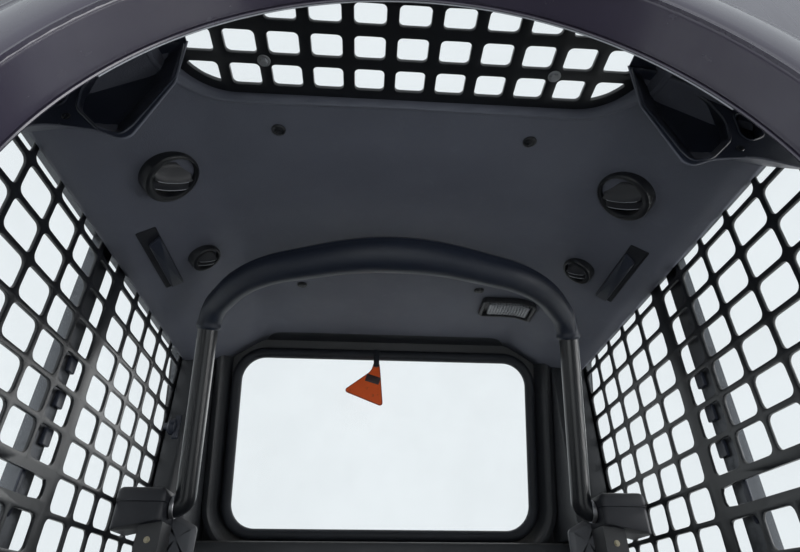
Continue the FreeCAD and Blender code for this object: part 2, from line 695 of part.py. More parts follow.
def segment(radius, chord):
    """Outline of the part of a disc beyond a chord."""
    reach = math.sqrt(radius ** 2 - chord ** 2)
    way = math.copysign(1, chord)
    return [Part.LineSegment(vector(-reach, chord), vector(reach, chord)),
            Part.Arc(vector(reach, chord), vector(0, way * radius), vector(-reach, chord))]


def crescent(radius, chord, depth):
    """Outline between a chord of a disc and a flatter arc beyond it."""
    reach = math.sqrt(radius ** 2 - chord ** 2)
    way = math.copysign(1, chord)
    return [Part.LineSegment(vector(-reach, chord), vector(reach, chord)),
            Part.Arc(vector(reach, chord), vector(0, chord + way * depth), vector(-reach, chord))]


VentRow = namedtuple("VentRow", "label out setback outer inner")
VENT_ROWS = [
    VentRow("vent_large", 44, 297, 42, 33),
    VentRow("vent_small", 44, 490, 27, 20),
]
for side, sign in RIGHT_AND_LEFT:
    vents = []
    for row in VENT_ROWS:
        name = row.label + "_" + side
        middle = (row.inner + row.outer) / 2
        ring = pad(name + "_ring", "XY_Plane", [circle(0, 0, row.outer), circle(0, 0, row.inner)],
                   "sizes.vent_ring")
        front = pad(name + "_front_blade", "XY_Plane", [segment(middle, -size.vent_slot / 2)],
                    "sizes.vent_blade")
        rear = pad(name + "_rear_blade", "XY_Plane",
                   [crescent(middle, size.vent_slot / 2, row.inner / 2)], "sizes.vent_blade")
        whole = fuse(name, [ring, front, rear])
        whole.Placement = on_cove(row.out, front_top + row.setback, size.fit_gap, sign)
        vents.append(whole)
    keep(group("vents_" + side, vents))

lamp_half_wide, lamp_half_long = size.side_lamp_wide / 2, size.side_lamp_long / 2
keep(group("side_lamps", [
    pad("side_lamp_" + side, "XY_Plane",
        [chamfered(-lamp_half_wide, -lamp_half_long, lamp_half_wide, lamp_half_long, size.side_lamp_deep)],
        "sizes.side_lamp_deep",
        on_cove(size.cove_width - size.side_lamp_inset, front_top + size.side_lamp_setback,
                size.fit_gap, sign))
    for side, sign in RIGHT_AND_LEFT]))

# Front panel: the door opening's frame, flat above and below the bend of the front post

def leaning(first, second, at_height):
    """Placement whose Z runs along the front post's line between two of its corners."""
    tilt = math.degrees(math.atan2(second[0] - first[0], second[1] - first[1]))
    return place(y=front_face(at_height), z=at_height, angle=-tilt)


upper_rise = math.hypot(size.front_knee_drop, size.front_top_setback - size.front_knee_setback)
lower_rise = math.hypot(front_knee, size.front_knee_setback)
door_half = clear_face - size.door_jamb
apex = upper_rise - size.door_top_drop
top_edge = upper_rise - size.roof_radius


def door_arch(margin, bottom):
    """Points of the door opening's arch, a margin outside it, from its right foot to its left."""
    half = door_half + margin
    spring = apex - door_half
    return [Part.LineSegment(vector(half, bottom), vector(half, spring)),
            Part.Arc(vector(half, spring), vector(0, spring + half), vector(-half, spring)),
            Part.LineSegment(vector(-half, spring), vector(-half, bottom))]


def joined(points):
    """Straight edges from each point to the next."""
    corners = [vector(*point) for point in points]
    return [Part.LineSegment(first, second) for first, second in zip(corners, corners[1:])]


upper_place = leaning(FRAME_POINTS[1], FRAME_POINTS[2], front_knee)
upper_outline = door_arch(0, 0) + joined([(-door_half, 0), (-clear_face, 0), (-clear_face, top_edge),
                                          (clear_face, top_edge), (clear_face, 0), (door_half, 0)])
upper_panel = pad("door_frame_upper", "XZ_Plane", [upper_outline], "sizes.door_frame_depth",
                  upper_place, backwards=True)
rim_width = size.door_rim_width
upper_rim_outline = door_arch(rim_width, 0) + joined([(-door_half - rim_width, 0), (-door_half, 0)])
upper_rim_outline += door_arch(0, 0) + joined([(door_half, 0), (door_half + rim_width, 0)])
rim_blank = pad("door_rim_blank", "XZ_Plane", [upper_rim_outline], "sizes.door_rim", upper_place)
skirt_room = block("skirt_room", ("sizes.cab_width", "sizes.cab_length", "sizes.roof_skirt"),
                   (-half_width, -size.cab_length, skirt - size.fit_gap))
upper_rim = cut("door_rim_upper", rim_blank, skirt_room)
lean_drop = size.door_frame_depth * size.front_knee_setback / lower_rise
panel_foot = -(front_knee - size.base_beam - size.fit_gap - lean_drop) * lower_rise / front_knee
panel_sill = -(front_knee - size.door_sill) * lower_rise / front_knee
lower_place = leaning(FRAME_POINTS[0], FRAME_POINTS[1], front_knee)
overlap = size.skin / 2
lower_outline = rounded([(-clear_face, panel_foot), (clear_face, panel_foot), (clear_face, overlap),
                         (door_half, overlap), (door_half, panel_sill), (-door_half, panel_sill),
                         (-door_half, overlap), (-clear_face, overlap)],
                        [0, 0, 0, 0, size.door_corner, size.door_corner, 0, 0])
lower_panel = pad("door_frame_lower", "XZ_Plane", [lower_outline], "sizes.door_frame_depth",
                  lower_place, backwards=True)
outer_half = door_half + rim_width
rim_sill = panel_sill - min(rim_width, size.door_sill - size.base_beam - lean_drop)
rim_outline = rounded([(outer_half, overlap), (door_half, overlap), (door_half, panel_sill),
                       (-door_half, panel_sill), (-door_half, overlap), (-outer_half, overlap),
                       (-outer_half, rim_sill), (outer_half, rim_sill)],
                      [0, 0, size.door_corner, size.door_corner, 0, 0, size.door_corner, size.door_corner])
lower_rim = pad("door_rim_lower", "XZ_Plane", [rim_outline], "sizes.door_rim", lower_place)
keep(fuse("door_frame", [upper_panel, lower_panel, upper_rim, lower_rim]))

# Corner pods: housings behind the top corners of the door opening, open to the front,
# whose undersides rise to the headliner behind

PodRow = namedtuple("PodRow", "inboard drop radius rear_inboard rear_drop")
POD_ROWS = [
    PodRow(166, 20, 0, 123, 20),
    PodRow(166, 95, 30, 123, 52),
    PodRow(143, 192, 14, 103, 124),
    PodRow(114, 177, 0, 78, 111),
    PodRow(65, 170, 0, 38, 105),
    PodRow(0, 187, 0, 0, 115),
    PodRow(0, 20, 0, 0, 20),
]
LARGE_HOLLOW = [
    PodRow(160, 30, 0, 126, 30),
    PodRow(160, 88, 0, 126, 48),
    PodRow(141, 174, 7, 110, 120),
    PodRow(112, 172, 7, 90, 112),
    PodRow(83, 140, 7, 78, 98),
    PodRow(83, 90, 0, 78, 80),
    PodRow(106, 30, 0, 93, 30),
]
SMALL_HOLLOW = [
    PodRow(68, 88, 0, 66, 90),
    PodRow(40, 110, 0, 44, 100),
    PodRow(40, 134, 0, 44, 108),
    PodRow(70, 148, 0, 66, 122),
]
pod_front = front_top + size.pod_setback


def pod_loft(name, rows, sign, front, depth):
    """A solid from a table's front outline to its rear one, both square to the cab's length."""
    radii = [row.radius for row in rows]
    near = [(sign * (cove_outer - row.inboard), size.frame_height - row.drop) for row in rows]
    far = [(sign * (cove_outer - row.rear_inboard), size.frame_height - row.rear_drop) for row in rows]
    return feature(name, loft([(rounded(near, radii), place(y=front, angle=90)),
                               (rounded(far, radii), place(y=front + depth, angle=90))]))


for side, sign in RIGHT_AND_LEFT:
    name = "corner_pod_" + side
    blank = pod_loft(name + "_blank", POD_ROWS, sign, pod_front, size.pod_depth)
    tools = [above_liner(name),
             pod_loft(name + "_large_hollow", LARGE_HOLLOW, sign, pod_front - 1, size.pod_hollow),
             pod_loft(name + "_small_hollow", SMALL_HOLLOW, sign, pod_front - 1, size.pod_hollow / 2)]
    keep(cut(name, blank, fuse(name + "_tools", tools)))

# Restraint bar, raised: two arms on pivots, bowed forward over the operator's head

pivot_y = half_length - size.pivot_setback
pivot_z = size.frame_height - size.pivot_drop
cover_outer = clear_face - size.housing_side_gap
cover_inner = cover_outer - size.housing_wide
arm_half = cover_inner - size.bar_foot_gap
arm_end = cover_inner - size.arm_gap

BarRow = namedtuple("BarRow", "inboard ahead drop bend")
BAR_ROWS = [
    BarRow(13, 120, 125, 55),
    BarRow(96, 227, 110, 190),
    BarRow(arm_half, 289, 96, 410),
]


def bar_corners():
    """The bar's centre line from the right elbow over the middle to the left one."""
    right = [(arm_half, pivot_y, pivot_z, size.bar_elbow)]
    right += [(arm_half - row.inboard, pivot_y - row.ahead, size.frame_height - row.drop, row.bend)
              for row in BAR_ROWS]
    return right + [(-x, y, z, bend) for x, y, z, bend in reversed(right[:-1])]


def bends(corners):
    """For each inner corner: where its arc starts, its centre, its axis, turn, end and directions."""
    found = []
    for before, corner, after in zip(corners, corners[1:], corners[2:]):
        point = vector(*corner[:3])
        back = (vector(*before[:3]) - point).normalize()
        ahead = (vector(*after[:3]) - point).normalize()
        half = back.getAngle(ahead) / 2
        reach = corner[3] / math.tan(half)
        found.append(SimpleNamespace(
            start=point + back * reach, end=point + ahead * reach, back=back,
            centre=point + (back + ahead).normalize() * (corner[3] / math.sin(half)),
            axis=back.cross(ahead) * -1, turn=math.degrees(math.pi - 2 * half)))
    return found


def stations(arc):
    """Points and directions along a bend, from its start to its end."""
    spoke = arc.start - arc.centre
    spans = math.ceil(arc.turn / size.bend_step)
    turns = [FreeCAD.Rotation(arc.axis, arc.turn * step / spans) for step in range(spans + 1)]
    return [(arc.centre + turn.multVec(spoke), turn.multVec(arc.back * -1)) for turn in turns]


def round_bar(places, radii):
    """Round sections square to a bent line, joined by straight spans."""
    sections = [Part.Wire([Part.Circle(point, along, radius).toShape()])
                for (point, along), radius in zip(places, radii)]
    return Part.makeLoft(sections, True, True)


def arm(sign):
    """A pin in the housing, an elbow and a straight tube up to the sleeve."""
    foot = vector(sign * arm_end, pivot_y, pivot_z)
    half = [corner for corner in bar_corners() if sign * corner[0] > 0]
    elbow, shoulder = bends([tuple(foot)] + (half if sign > 0 else half[::-1]))[:2]
    bend = stations(elbow)
    places = [(foot, bend[0][1])] + bend + [(shoulder.start, bend[-1][1])]
    tube = round_bar(places, [size.bar_tube / 2] * len(places))
    pin = Part.makeCylinder(size.pin_radius, size.pin_length + size.arm_gap, foot, X_AXIS * sign)
    return tube.fuse(pin)


def grip_sleeve():
    """The sleeve over the bar's bowed middle, thickest at its centre."""
    places = []
    for arc in bends(bar_corners()):
        places += stations(arc)
    radii = []
    for point, along in places:
        share = (1 - abs(point.x) / arm_half) ** size.sleeve_fullness
        radii.append((size.sleeve_end + (size.sleeve_middle - size.sleeve_end) * share) / 2)
    return round_bar(places, radii)


keep(feature("bar_arms", Part.makeCompound([arm(sign) for side, sign in RIGHT_AND_LEFT])))
keep(feature("bar_sleeve", grip_sleeve()))

# Pivot housings, pointed at their outer lower edge, and the posts that carry them

seat_floor = size.platform_height + size.skin
housing_top = pivot_z + size.housing_high / 2
housing_low = pivot_z - size.housing_high / 2
post_middle = cover_inner + 1 + size.post_wide / 2
post_edge = post_middle + size.post_wide / 2
posts = []
for side, sign in RIGHT_AND_LEFT:
    name = "pivot_housing_" + side
    corners = [(sign * cover_inner, housing_low), (sign * post_edge, housing_low),
               (sign * cover_outer, housing_low - size.housing_tip), (sign * cover_outer, housing_top),
               (sign * cover_inner, housing_top)]
    blank = pad(name + "_blank", "XZ_Plane",
                [rounded(corners, [0, 0, size.housing_round / 4, size.housing_round, size.housing_round])],
                "sizes.housing_deep", place(y=pivot_y + size.housing_deep / 2))
    bore = rod(name + "_bore", "sizes.pin_radius + sizes.pin_gap", "sizes.pin_length + 2",
               place(sign * (cover_inner - 1), pivot_y, pivot_z, Y_AXIS, sign * 90))
    keep(cut(name, blank, bore))
    posts.append(block("pivot_post_" + side, ("sizes.post_wide", "sizes.post_deep",
                                              "%g" % (housing_low - seat_floor)),
                       (sign * post_middle - size.post_wide / 2, pivot_y - size.post_deep / 2, seat_floor)))
keep(group("pivot_posts", posts))

# Floor, seat platform and seat

floor_top = size.base_beam + size.skin
floor_front = front_face(size.base_beam, size.door_frame_depth + 2)
keep(block("floor_pan", (INNER_WIDTH, "%g" % (platform_front + size.base_beam - floor_front), "sizes.skin"),
           (-clear_face, floor_front, size.base_beam)))
platform_rear = wall_front[4][0] - 1
platform_points = [(platform_front, floor_top), (platform_front, seat_floor), (platform_rear, seat_floor),
                   (platform_rear, size.platform_height),
                   (platform_front + size.skin, size.platform_height),
                   (platform_front + size.skin, floor_top)]
keep(pad("seat_platform", "YZ_Plane",
         [rounded(platform_points, [0, size.platform_bend, 0, 0, size.platform_bend - size.skin, 0])],
         INNER_WIDTH, place(x=-clear_face)))

seat_rear = half_length - size.seat_setback
seat_front = seat_rear - size.seat_long
cushion_low = seat_floor + size.seat_base_high + size.fit_gap
cushion_top = cushion_low + size.seat_thick
gasket_low = window_middle - window_rise - size.gasket_width * math.cos(lean)
ledge_top = gasket_low - size.gasket_depth * math.sin(lean) - size.ledge_gap
keep(block("seat_base", ("sizes.seat_base_wide", "sizes.seat_base_long", "sizes.seat_base_high"),
           (-size.seat_base_wide / 2, (seat_front + seat_rear - size.seat_base_long) / 2, seat_floor)))
keep(pad("seat_cushion", "YZ_Plane",
         [box_outline(seat_front, cushion_low, seat_rear, cushion_top, size.seat_round)],
         "sizes.seat_wide", place(x=-size.seat_wide / 2)))
back_low = cushion_top + size.fit_gap
back_top = ledge_top - size.back_gap
back_front = seat_rear - size.back_thick - 2 * size.back_gap / 5
back_foot = back_front + size.back_thick
back_points = [(back_front, back_low), (back_foot, back_low), (back_foot + size.back_lean, back_top - 10),
               (back_foot + size.back_lean - size.back_thick * 2 / 3, back_top)]
keep(pad("seat_back", "YZ_Plane", [rounded(back_points, size.back_round)],
         "sizes.seat_wide - 10", place(x=5 - size.seat_wide / 2)))

console_outer = clear_face - size.housing_side_gap - 4
console_front = platform_front - size.console_lead
console_rear = console_front + size.console_long
console_top = seat_floor + size.console_high
for side, sign in RIGHT_AND_LEFT:
    corners = [(console_front, seat_floor), (console_front, console_top - size.console_nose),
               (console_front + size.console_nose * size.console_rake, console_top),
               (console_rear, console_top - size.console_fall), (console_rear, seat_floor)]
    keep(pad("console_" + side, "YZ_Plane",
             [rounded(corners, [0, size.platform_bend, size.platform_bend, size.platform_bend, 0])],
             "sizes.console_wide",
             place(x=console_outer - size.console_wide if sign > 0 else -console_outer)))

LeverRow = namedtuple("LeverRow", "rise half_wide half_long forward")
LEVER_ROWS = [
    LeverRow(0, 30, 28, 0),
    LeverRow(34, 15, 15, 0),
    LeverRow(62, 12, 12, 0),
    LeverRow(110, 21, 18, 4),
    LeverRow(150, 24, 22, 12),
    LeverRow(166, 17, 14, 12),
]
lever_y = console_front + size.lever_setback
console_bend = console_front + size.console_nose * size.console_rake
top_slope = size.console_fall / (console_rear - console_bend)
lever_low = console_top - (lever_y - LEVER_ROWS[0].half_long - console_bend) * top_slope + size.fit_gap
levers = []
for side, sign in RIGHT_AND_LEFT:
    x = sign * (console_outer - size.console_wide / 2)
    levers.append(loft([
        (chamfered(-row.half_wide, -row.half_long, row.half_wide, row.half_long, size.grip_chamfer),
         place(x, lever_y - row.forward, lever_low + row.rise))
        for row in LEVER_ROWS]))
keep(feature("control_levers", Part.makeCompound(levers)))

pedal_outline = [chamfered(-size.pedal_wide / 2, -size.pedal_long / 2, size.pedal_wide / 2,
                           size.pedal_long / 2, size.pedal_thick)]
keep(group("pedals", [
    pad("pedal_" + side, "XY_Plane", pedal_outline, "sizes.pedal_thick",
        place(sign * size.pedal_half, (floor_front + platform_front) / 2, floor_top + size.fit_gap))
    for side, sign in RIGHT_AND_LEFT]))

# Small fittings under the roof and at the rear window

window_top_y = rear_face(window_middle + window_rise, size.rear_inset)
lamp_rear = window_top_y - size.lamp_rear_gap
lamp_blank = block("dome_lamp_blank", ("sizes.lamp_wide", "sizes.lamp_long", "sizes.lamp_deep * 2"),
                   (liner_flat - size.lamp_inset, lamp_rear - size.lamp_long, flat_low - size.lamp_deep))
keep(cut("dome_lamp", lamp_blank, above_liner("dome_lamp")))

ClipRow = namedtuple("ClipRow", "name half_apart setback")
CLIP_ROWS = [
    ClipRow("front", 167, 238),
    ClipRow("rear", 170, 620),
]
clip_outline = chamfered(-size.clip_radius, -size.clip_radius, size.clip_radius, size.clip_radius,
                         size.clip_radius * (2 - math.sqrt(2)))
keep(group("liner_clips", [
    pad("liner_clip_%s_%s" % (row.name, side), "XY_Plane", [clip_outline], "sizes.clip_deep",
        place(sign * row.half_apart, front_top + row.setback, flat_low - size.clip_deep))
    for row in CLIP_ROWS for side, sign in RIGHT_AND_LEFT]))

surround_inner = size.gasket_width + size.surround_gap
surround_outer = surround_inner + size.surround_width
trim_inner = window_half + surround_outer + size.fit_gap
trim_outer = clear_face - size.trim_side_gap
trim_bottom = ledge_top + size.ledge_gap
trim_front = rear_face(flat_low, size.rear_inset) - size.trim_deep
trim_back = rear_face(trim_bottom, size.rear_inset)
for side, sign in RIGHT_AND_LEFT:
    name = "pillar_trim_" + side
    corners = [(trim_inner, trim_back), (trim_outer, trim_back), (trim_outer, trim_front),
               (trim_inner + size.trim_edge, trim_front), (trim_inner, trim_front + size.trim_edge)]
    blank = pad(name + "_blank", "XY_Plane", [rounded([(sign * x, y) for x, y in corners], 0)],
                "%g" % (flat_low - trim_bottom), place(z=trim_bottom))
    keep(cut(name, blank, fuse(name + "_tools", [above_liner(name), behind_wall])))

ledge_wall = rear_face(ledge_top, size.rear_inset) - 1
ledge = block("rear_ledge_shelf", ("%g" % (2 * trim_outer), "sizes.ledge_deep", "sizes.ledge_high"),
              (-trim_outer, ledge_wall - size.ledge_deep, ledge_top - size.ledge_high))
half_in, half_out = window_half + surround_inner, window_half + surround_outer
low_in = -size.rear_window_height / 2 - surround_inner
surround_top = (grille_low - window_middle) / math.cos(lean)
surround_corner = size.rear_window_radius + surround_inner
surround = pad("rear_surround", "XZ_Plane",
               [rounded([(-half_out, surround_top), (-half_out, low_in - size.surround_width),
                         (half_out, low_in - size.surround_width), (half_out, surround_top),
                         (half_in, surround_top), (half_in, low_in), (-half_in, low_in),
                         (-half_in, surround_top)],
                        [0, 0, 0, 0, 0, surround_corner, surround_corner, 0])],
               "sizes.surround_depth", on_rear_wall(size.fit_gap))
keep(fuse("rear_ledge", [ledge, cut("rear_surround_fitted", surround, above_liner("rear_surround"))]))

TagRow = namedtuple("TagRow", "x drop")
TAG_ROWS = [TagRow(-22, 108), TagRow(-91, 165), TagRow(-7, 198)]
strap_x = TAG_ROWS[0].x
strap_top = size.frame_height - size.tag_drop
tag_y = rear_face(strap_top, size.rear_inset) - size.gasket_depth / math.cos(lean) - 1
tag = pad("exit_tag_plate", "XZ_Plane",
          [rounded([(row.x, size.frame_height - row.drop) for row in TAG_ROWS], size.tag_thick)],
          "sizes.tag_thick", place(y=tag_y))
strap = pad("exit_tag_strap", "XZ_Plane",
            [box_outline(strap_x - size.tag_strap / 2, size.frame_height - TAG_ROWS[0].drop - size.tag_strap,
                         strap_x + size.tag_strap / 2, strap_top)],
            "sizes.tag_thick", place(y=tag_y))
keep(fuse("exit_tag", [tag, strap]))

# Checks and files

doc.recompute()
for item in doc.Objects:
    if "Invalid" in item.State or "Error" in item.State:
        raise RuntimeError("%s is not built: %s" % (item.Label, item.State))
os.makedirs("parts", exist_ok=True)
for piece in nodes:
    shape = piece.Shape
    if shape.isNull() or not shape.isValid():
        raise RuntimeError(piece.Label + " has no valid shape")
    shape.exportStep("parts/" + piece.Label + ".step")
print(len(nodes), "nodes")
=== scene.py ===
"""Finishes and moulded detail of a skid steer loader's operator cab, fitted round its frame."""

import json
import math

import bmesh
import bpy
import numpy as np
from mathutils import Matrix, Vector


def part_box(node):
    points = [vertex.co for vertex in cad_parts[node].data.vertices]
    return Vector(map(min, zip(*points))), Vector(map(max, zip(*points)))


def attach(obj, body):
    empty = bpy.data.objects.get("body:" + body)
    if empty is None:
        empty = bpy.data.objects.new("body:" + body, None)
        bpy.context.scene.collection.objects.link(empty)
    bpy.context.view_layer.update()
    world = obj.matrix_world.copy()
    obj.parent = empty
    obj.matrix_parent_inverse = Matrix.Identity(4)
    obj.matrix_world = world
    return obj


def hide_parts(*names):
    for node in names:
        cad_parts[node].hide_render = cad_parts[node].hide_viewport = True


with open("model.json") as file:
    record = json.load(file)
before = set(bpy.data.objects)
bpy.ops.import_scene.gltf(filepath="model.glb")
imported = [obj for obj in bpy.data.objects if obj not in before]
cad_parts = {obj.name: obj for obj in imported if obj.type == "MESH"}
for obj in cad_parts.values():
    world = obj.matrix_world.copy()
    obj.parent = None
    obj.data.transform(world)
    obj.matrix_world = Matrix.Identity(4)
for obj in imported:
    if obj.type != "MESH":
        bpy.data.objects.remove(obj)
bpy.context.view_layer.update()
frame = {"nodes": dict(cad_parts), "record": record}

SIDES = (("right", 1), ("left", -1))
UP = np.array([0.0, 0.0, 1.0])
ALONG = np.array([0.0, 1.0, 0.0])
ACROSS = np.array([1.0, 0.0, 0.0])


# Surfaces as arrays of points


def unit(vectors):
    """Each vector divided by its length."""
    return vectors / np.linalg.norm(vectors, axis=-1, keepdims=True)


def rounded_rectangle(half_wide, half_high, radius, steps=6):
    """Corner centre plus radius times cosine and sine, over four quarter turns."""
    turn = np.linspace(0, math.pi / 2, steps) + np.arange(4)[:, None] * math.pi / 2
    corner = np.array([[1, 1], [-1, 1], [-1, -1], [1, -1]])[:, None, :]
    centre = corner * (np.array([half_wide, half_high]) - radius)
    return (centre + radius * np.stack([np.cos(turn), np.sin(turn)], -1)).reshape(-1, 2)


def filleted(corners, radii, steps=8, closed=True):
    """Corners of a path replaced by arcs: each runs from one side to the next about its centre."""
    corners = np.array(corners, float)
    radii = np.broadcast_to(radii, len(corners))
    points = []
    for index, corner in enumerate(corners):
        if not closed and index in (0, len(corners) - 1):
            points.append(corner[None])
            continue
        back = unit(corners[index - 1] - corner)
        ahead = unit(corners[(index + 1) % len(corners)] - corner)
        half = math.acos(np.clip(back @ ahead, -1, 1)) / 2
        if radii[index] <= 0 or half > math.pi / 2 - 1e-4:
            points.append(corner[None])
            continue
        middle = unit(back + ahead)
        centre = corner + middle * radii[index] / math.sin(half)
        spread = np.linspace(-1, 1, steps)[:, None] * (math.pi / 2 - half)
        cross = unit(ahead - back)
        points.append(centre + radii[index] * (cross * np.sin(spread) - middle * np.cos(spread)))
    return np.concatenate(points)


def evenly(path, count, closed=False):
    """The path measured along its length and divided into equal steps."""
    if closed:
        path = np.concatenate([path, path[:1]])
    steps = np.linalg.norm(np.diff(path, axis=0), axis=1)
    length = np.concatenate([[0], np.cumsum(steps)])
    at = np.linspace(0, length[-1], count, endpoint=not closed)
    return np.stack([np.interp(at, length, axis) for axis in path.T], -1)


def polar(outline, centre, turns):
    """Points of an outline in the directions of the turns, seen from a centre inside it."""
    dense = evenly(outline, 720, True) - centre
    angle = np.arctan2(dense[:, 1], dense[:, 0])
    reach = np.interp(turns, angle, np.linalg.norm(dense, axis=1), period=2 * math.pi)
    return centre + reach[:, None] * np.stack([np.cos(turns), np.sin(turns)], -1)


def sweep(path, profile, reference, closed=False):
    """A profile carried along a path: path plus its two numbers times the side and the upward
    directions, which stand square to the path and follow a reference direction."""
    if closed:
        ahead = unit(np.roll(path, -1, axis=0) - np.roll(path, 1, axis=0))
    else:
        ahead = unit(np.gradient(path, axis=0))
    side = unit(np.cross(ahead, reference))
    upward = np.cross(side, ahead)
    profile = np.broadcast_to(profile, (len(path),) + profile.shape[-2:])
    return (path[:, None] + profile[..., :1] * side[:, None]
            + profile[..., 1:] * upward[:, None])


def circle_profile(radius, steps=20):
    """Radius times cosine and sine of the turn."""
    turn = np.linspace(0, 2 * math.pi, steps, endpoint=False)
    return radius * np.stack([np.cos(turn), np.sin(turn)], -1)


def capped(grid):
    """The grid with its first and last rows drawn together to their middles."""
    first = np.broadcast_to(grid[:1].mean(1, keepdims=True), grid[:1].shape)
    last = np.broadcast_to(grid[-1:].mean(1, keepdims=True), grid[-1:].shape)
    return np.concatenate([first, grid, last])


def revolved(profile, centre, axis, steps=48):
    """A profile of radius and height turned about an axis through a centre."""
    axis = unit(np.array(axis, float))
    reference = ACROSS if abs(axis[0]) < 0.9 else ALONG
    first = unit(np.cross(axis, reference))
    second = np.cross(axis, first)
    turn = np.linspace(0, 2 * math.pi, steps, endpoint=False)
    ring = np.cos(turn)[:, None] * first + np.sin(turn)[:, None] * second
    profile = np.array(profile, float)
    return (np.array(centre) + profile[:, None, :1] * ring + profile[:, None, 1:] * axis)


def flat(outline, level, origin, across, upward):
    """An outline of two numbers laid in the plane of two directions, at a level off it."""
    across, upward = unit(np.array(across, float)), unit(np.array(upward, float))
    off = np.cross(across, upward)
    return (np.array(origin) + outline[..., :1] * across + outline[..., 1:] * upward
            + np.asarray(level)[..., None] * off)


def moved(outline, distance):
    """A closed outline, anticlockwise, shifted along its outward normals."""
    ahead = unit(np.roll(outline, -1, axis=0) - np.roll(outline, 1, axis=0))
    return outline + distance * np.stack([ahead[:, 1], -ahead[:, 0]], -1)


def stacked(outline, profile, plane):
    """Rows of an outline, each moved outwards and raised off a plane by a profile's two numbers."""
    return np.stack([flat(moved(outline, out), level, *plane) for out, level in profile])


def solid(outline, profile, plane):
    """A closed form: the stacked rows with both ends filled in."""
    return capped(stacked(outline, profile, plane)), False, True


def band(outline, profile, plane):
    """A closed ring: the stacked rows joined from the last to the first."""
    return stacked(outline, profile, plane), True, True


def rod(path, profile, reference, closed=False):
    """A closed form: a profile swept along a path, with both ends filled in."""
    grid = sweep(path, profile, reference, closed)
    return (grid, True, True) if closed else (capped(grid), False, True)


def cushion_edge(depth, edge, steps=5):
    """A profile that climbs a wall and turns over a quarter circle: out and up, foot to top."""
    turn = np.linspace(0, math.pi / 2, steps)
    rows = [(0.0, 0.0)] + [(edge * (math.cos(t) - 1), depth - edge + edge * math.sin(t)) for t in turn]
    return rows


def mirrored(parts):
    """The same parts on the other side of the cab's middle plane."""
    return [(grid * [-1, 1, 1], around, along) for grid, around, along in parts]


def grid_faces(shape, close_rows, close_columns):
    """Four corners of every face between neighbouring rows and columns, block after block."""
    blocks, rows, columns = shape
    row, column = np.meshgrid(np.arange(rows if close_rows else rows - 1),
                              np.arange(columns if close_columns else columns - 1), indexing="ij")
    next_row, next_column = (row + 1) % rows, (column + 1) % columns
    faces = np.stack([row * columns + column, next_row * columns + column,
                      next_row * columns + next_column, row * columns + next_column], -1)
    return (faces.reshape(1, -1, 4) + np.arange(blocks)[:, None, None] * rows * columns).reshape(-1, 4)


def add_piece(name, parts, finish, body="cab", replaces=(), crease=35.0, bevel=0.0, level=0, skin=0.0,
              merged=True):
    """One mesh from parts, each a grid of points, closed or not along its rows and its columns."""
    points, faces, base = [], [], 0
    for grid, close_rows, close_columns in parts:
        grid = np.asarray(grid, float)
        blocks = grid.reshape((-1,) + grid.shape[-3:])
        faces.append(grid_faces(blocks.shape[:3], close_rows, close_columns) + base)
        points.append(blocks.reshape(-1, 3))
        base += len(points[-1])
    mesh = bpy.data.meshes.new(name)
    mesh.from_pydata(np.concatenate(points).tolist(), [], np.concatenate(faces).tolist())
    work = bmesh.new()
    work.from_mesh(mesh)
    if merged:
        bmesh.ops.remove_doubles(work, verts=work.verts, dist=2e-6)
    bmesh.ops.dissolve_degenerate(work, dist=1e-6, edges=work.edges)
    bmesh.ops.recalc_face_normals(work, faces=work.faces)
    work.to_mesh(mesh)
    work.free()
    mesh.shade_smooth()
    mesh.set_sharp_from_angle(angle=math.radians(crease))
    made = bpy.data.objects.new(name, mesh)
    bpy.context.scene.collection.objects.link(made)
    mesh.materials.append(finish)
    if skin:
        wall = made.modifiers.new("wall", "SOLIDIFY")
        wall.thickness = skin
        wall.offset = 0.0
    if bevel:
        edge = made.modifiers.new("edge", "BEVEL")
        edge.width = bevel
        edge.segments = 2
        edge.limit_method = "ANGLE"
        edge.angle_limit = math.radians(40)
    if level:
        finer = made.modifiers.new("finer", "SUBSURF")
        finer.levels = level
        finer.render_levels = level
    if replaces:
        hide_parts(*replaces)
    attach(made, body)
    return made


# Finishes


class Value:
    """A socket of a finish; arithmetic on it adds the nodes that work it out."""

    def __init__(self, finish, socket):
        self.finish = finish
        self.socket = socket

    def maths(self, operation, first, second):
        return self.finish.node("ShaderNodeMath", {"operation": operation}, {0: first, 1: second})

    def __add__(self, other):
        return self.maths("ADD", self, other)

    def __sub__(self, other):
        return self.maths("SUBTRACT", self, other)

    def __rsub__(self, other):
        return self.maths("SUBTRACT", other, self)

    def __mul__(self, other):
        return self.maths("MULTIPLY", self, other)

    def __gt__(self, other):
        return self.maths("GREATER_THAN", self, other)

    def __pow__(self, other):
        return self.maths("POWER", self, other)

    __radd__ = __add__
    __rmul__ = __mul__


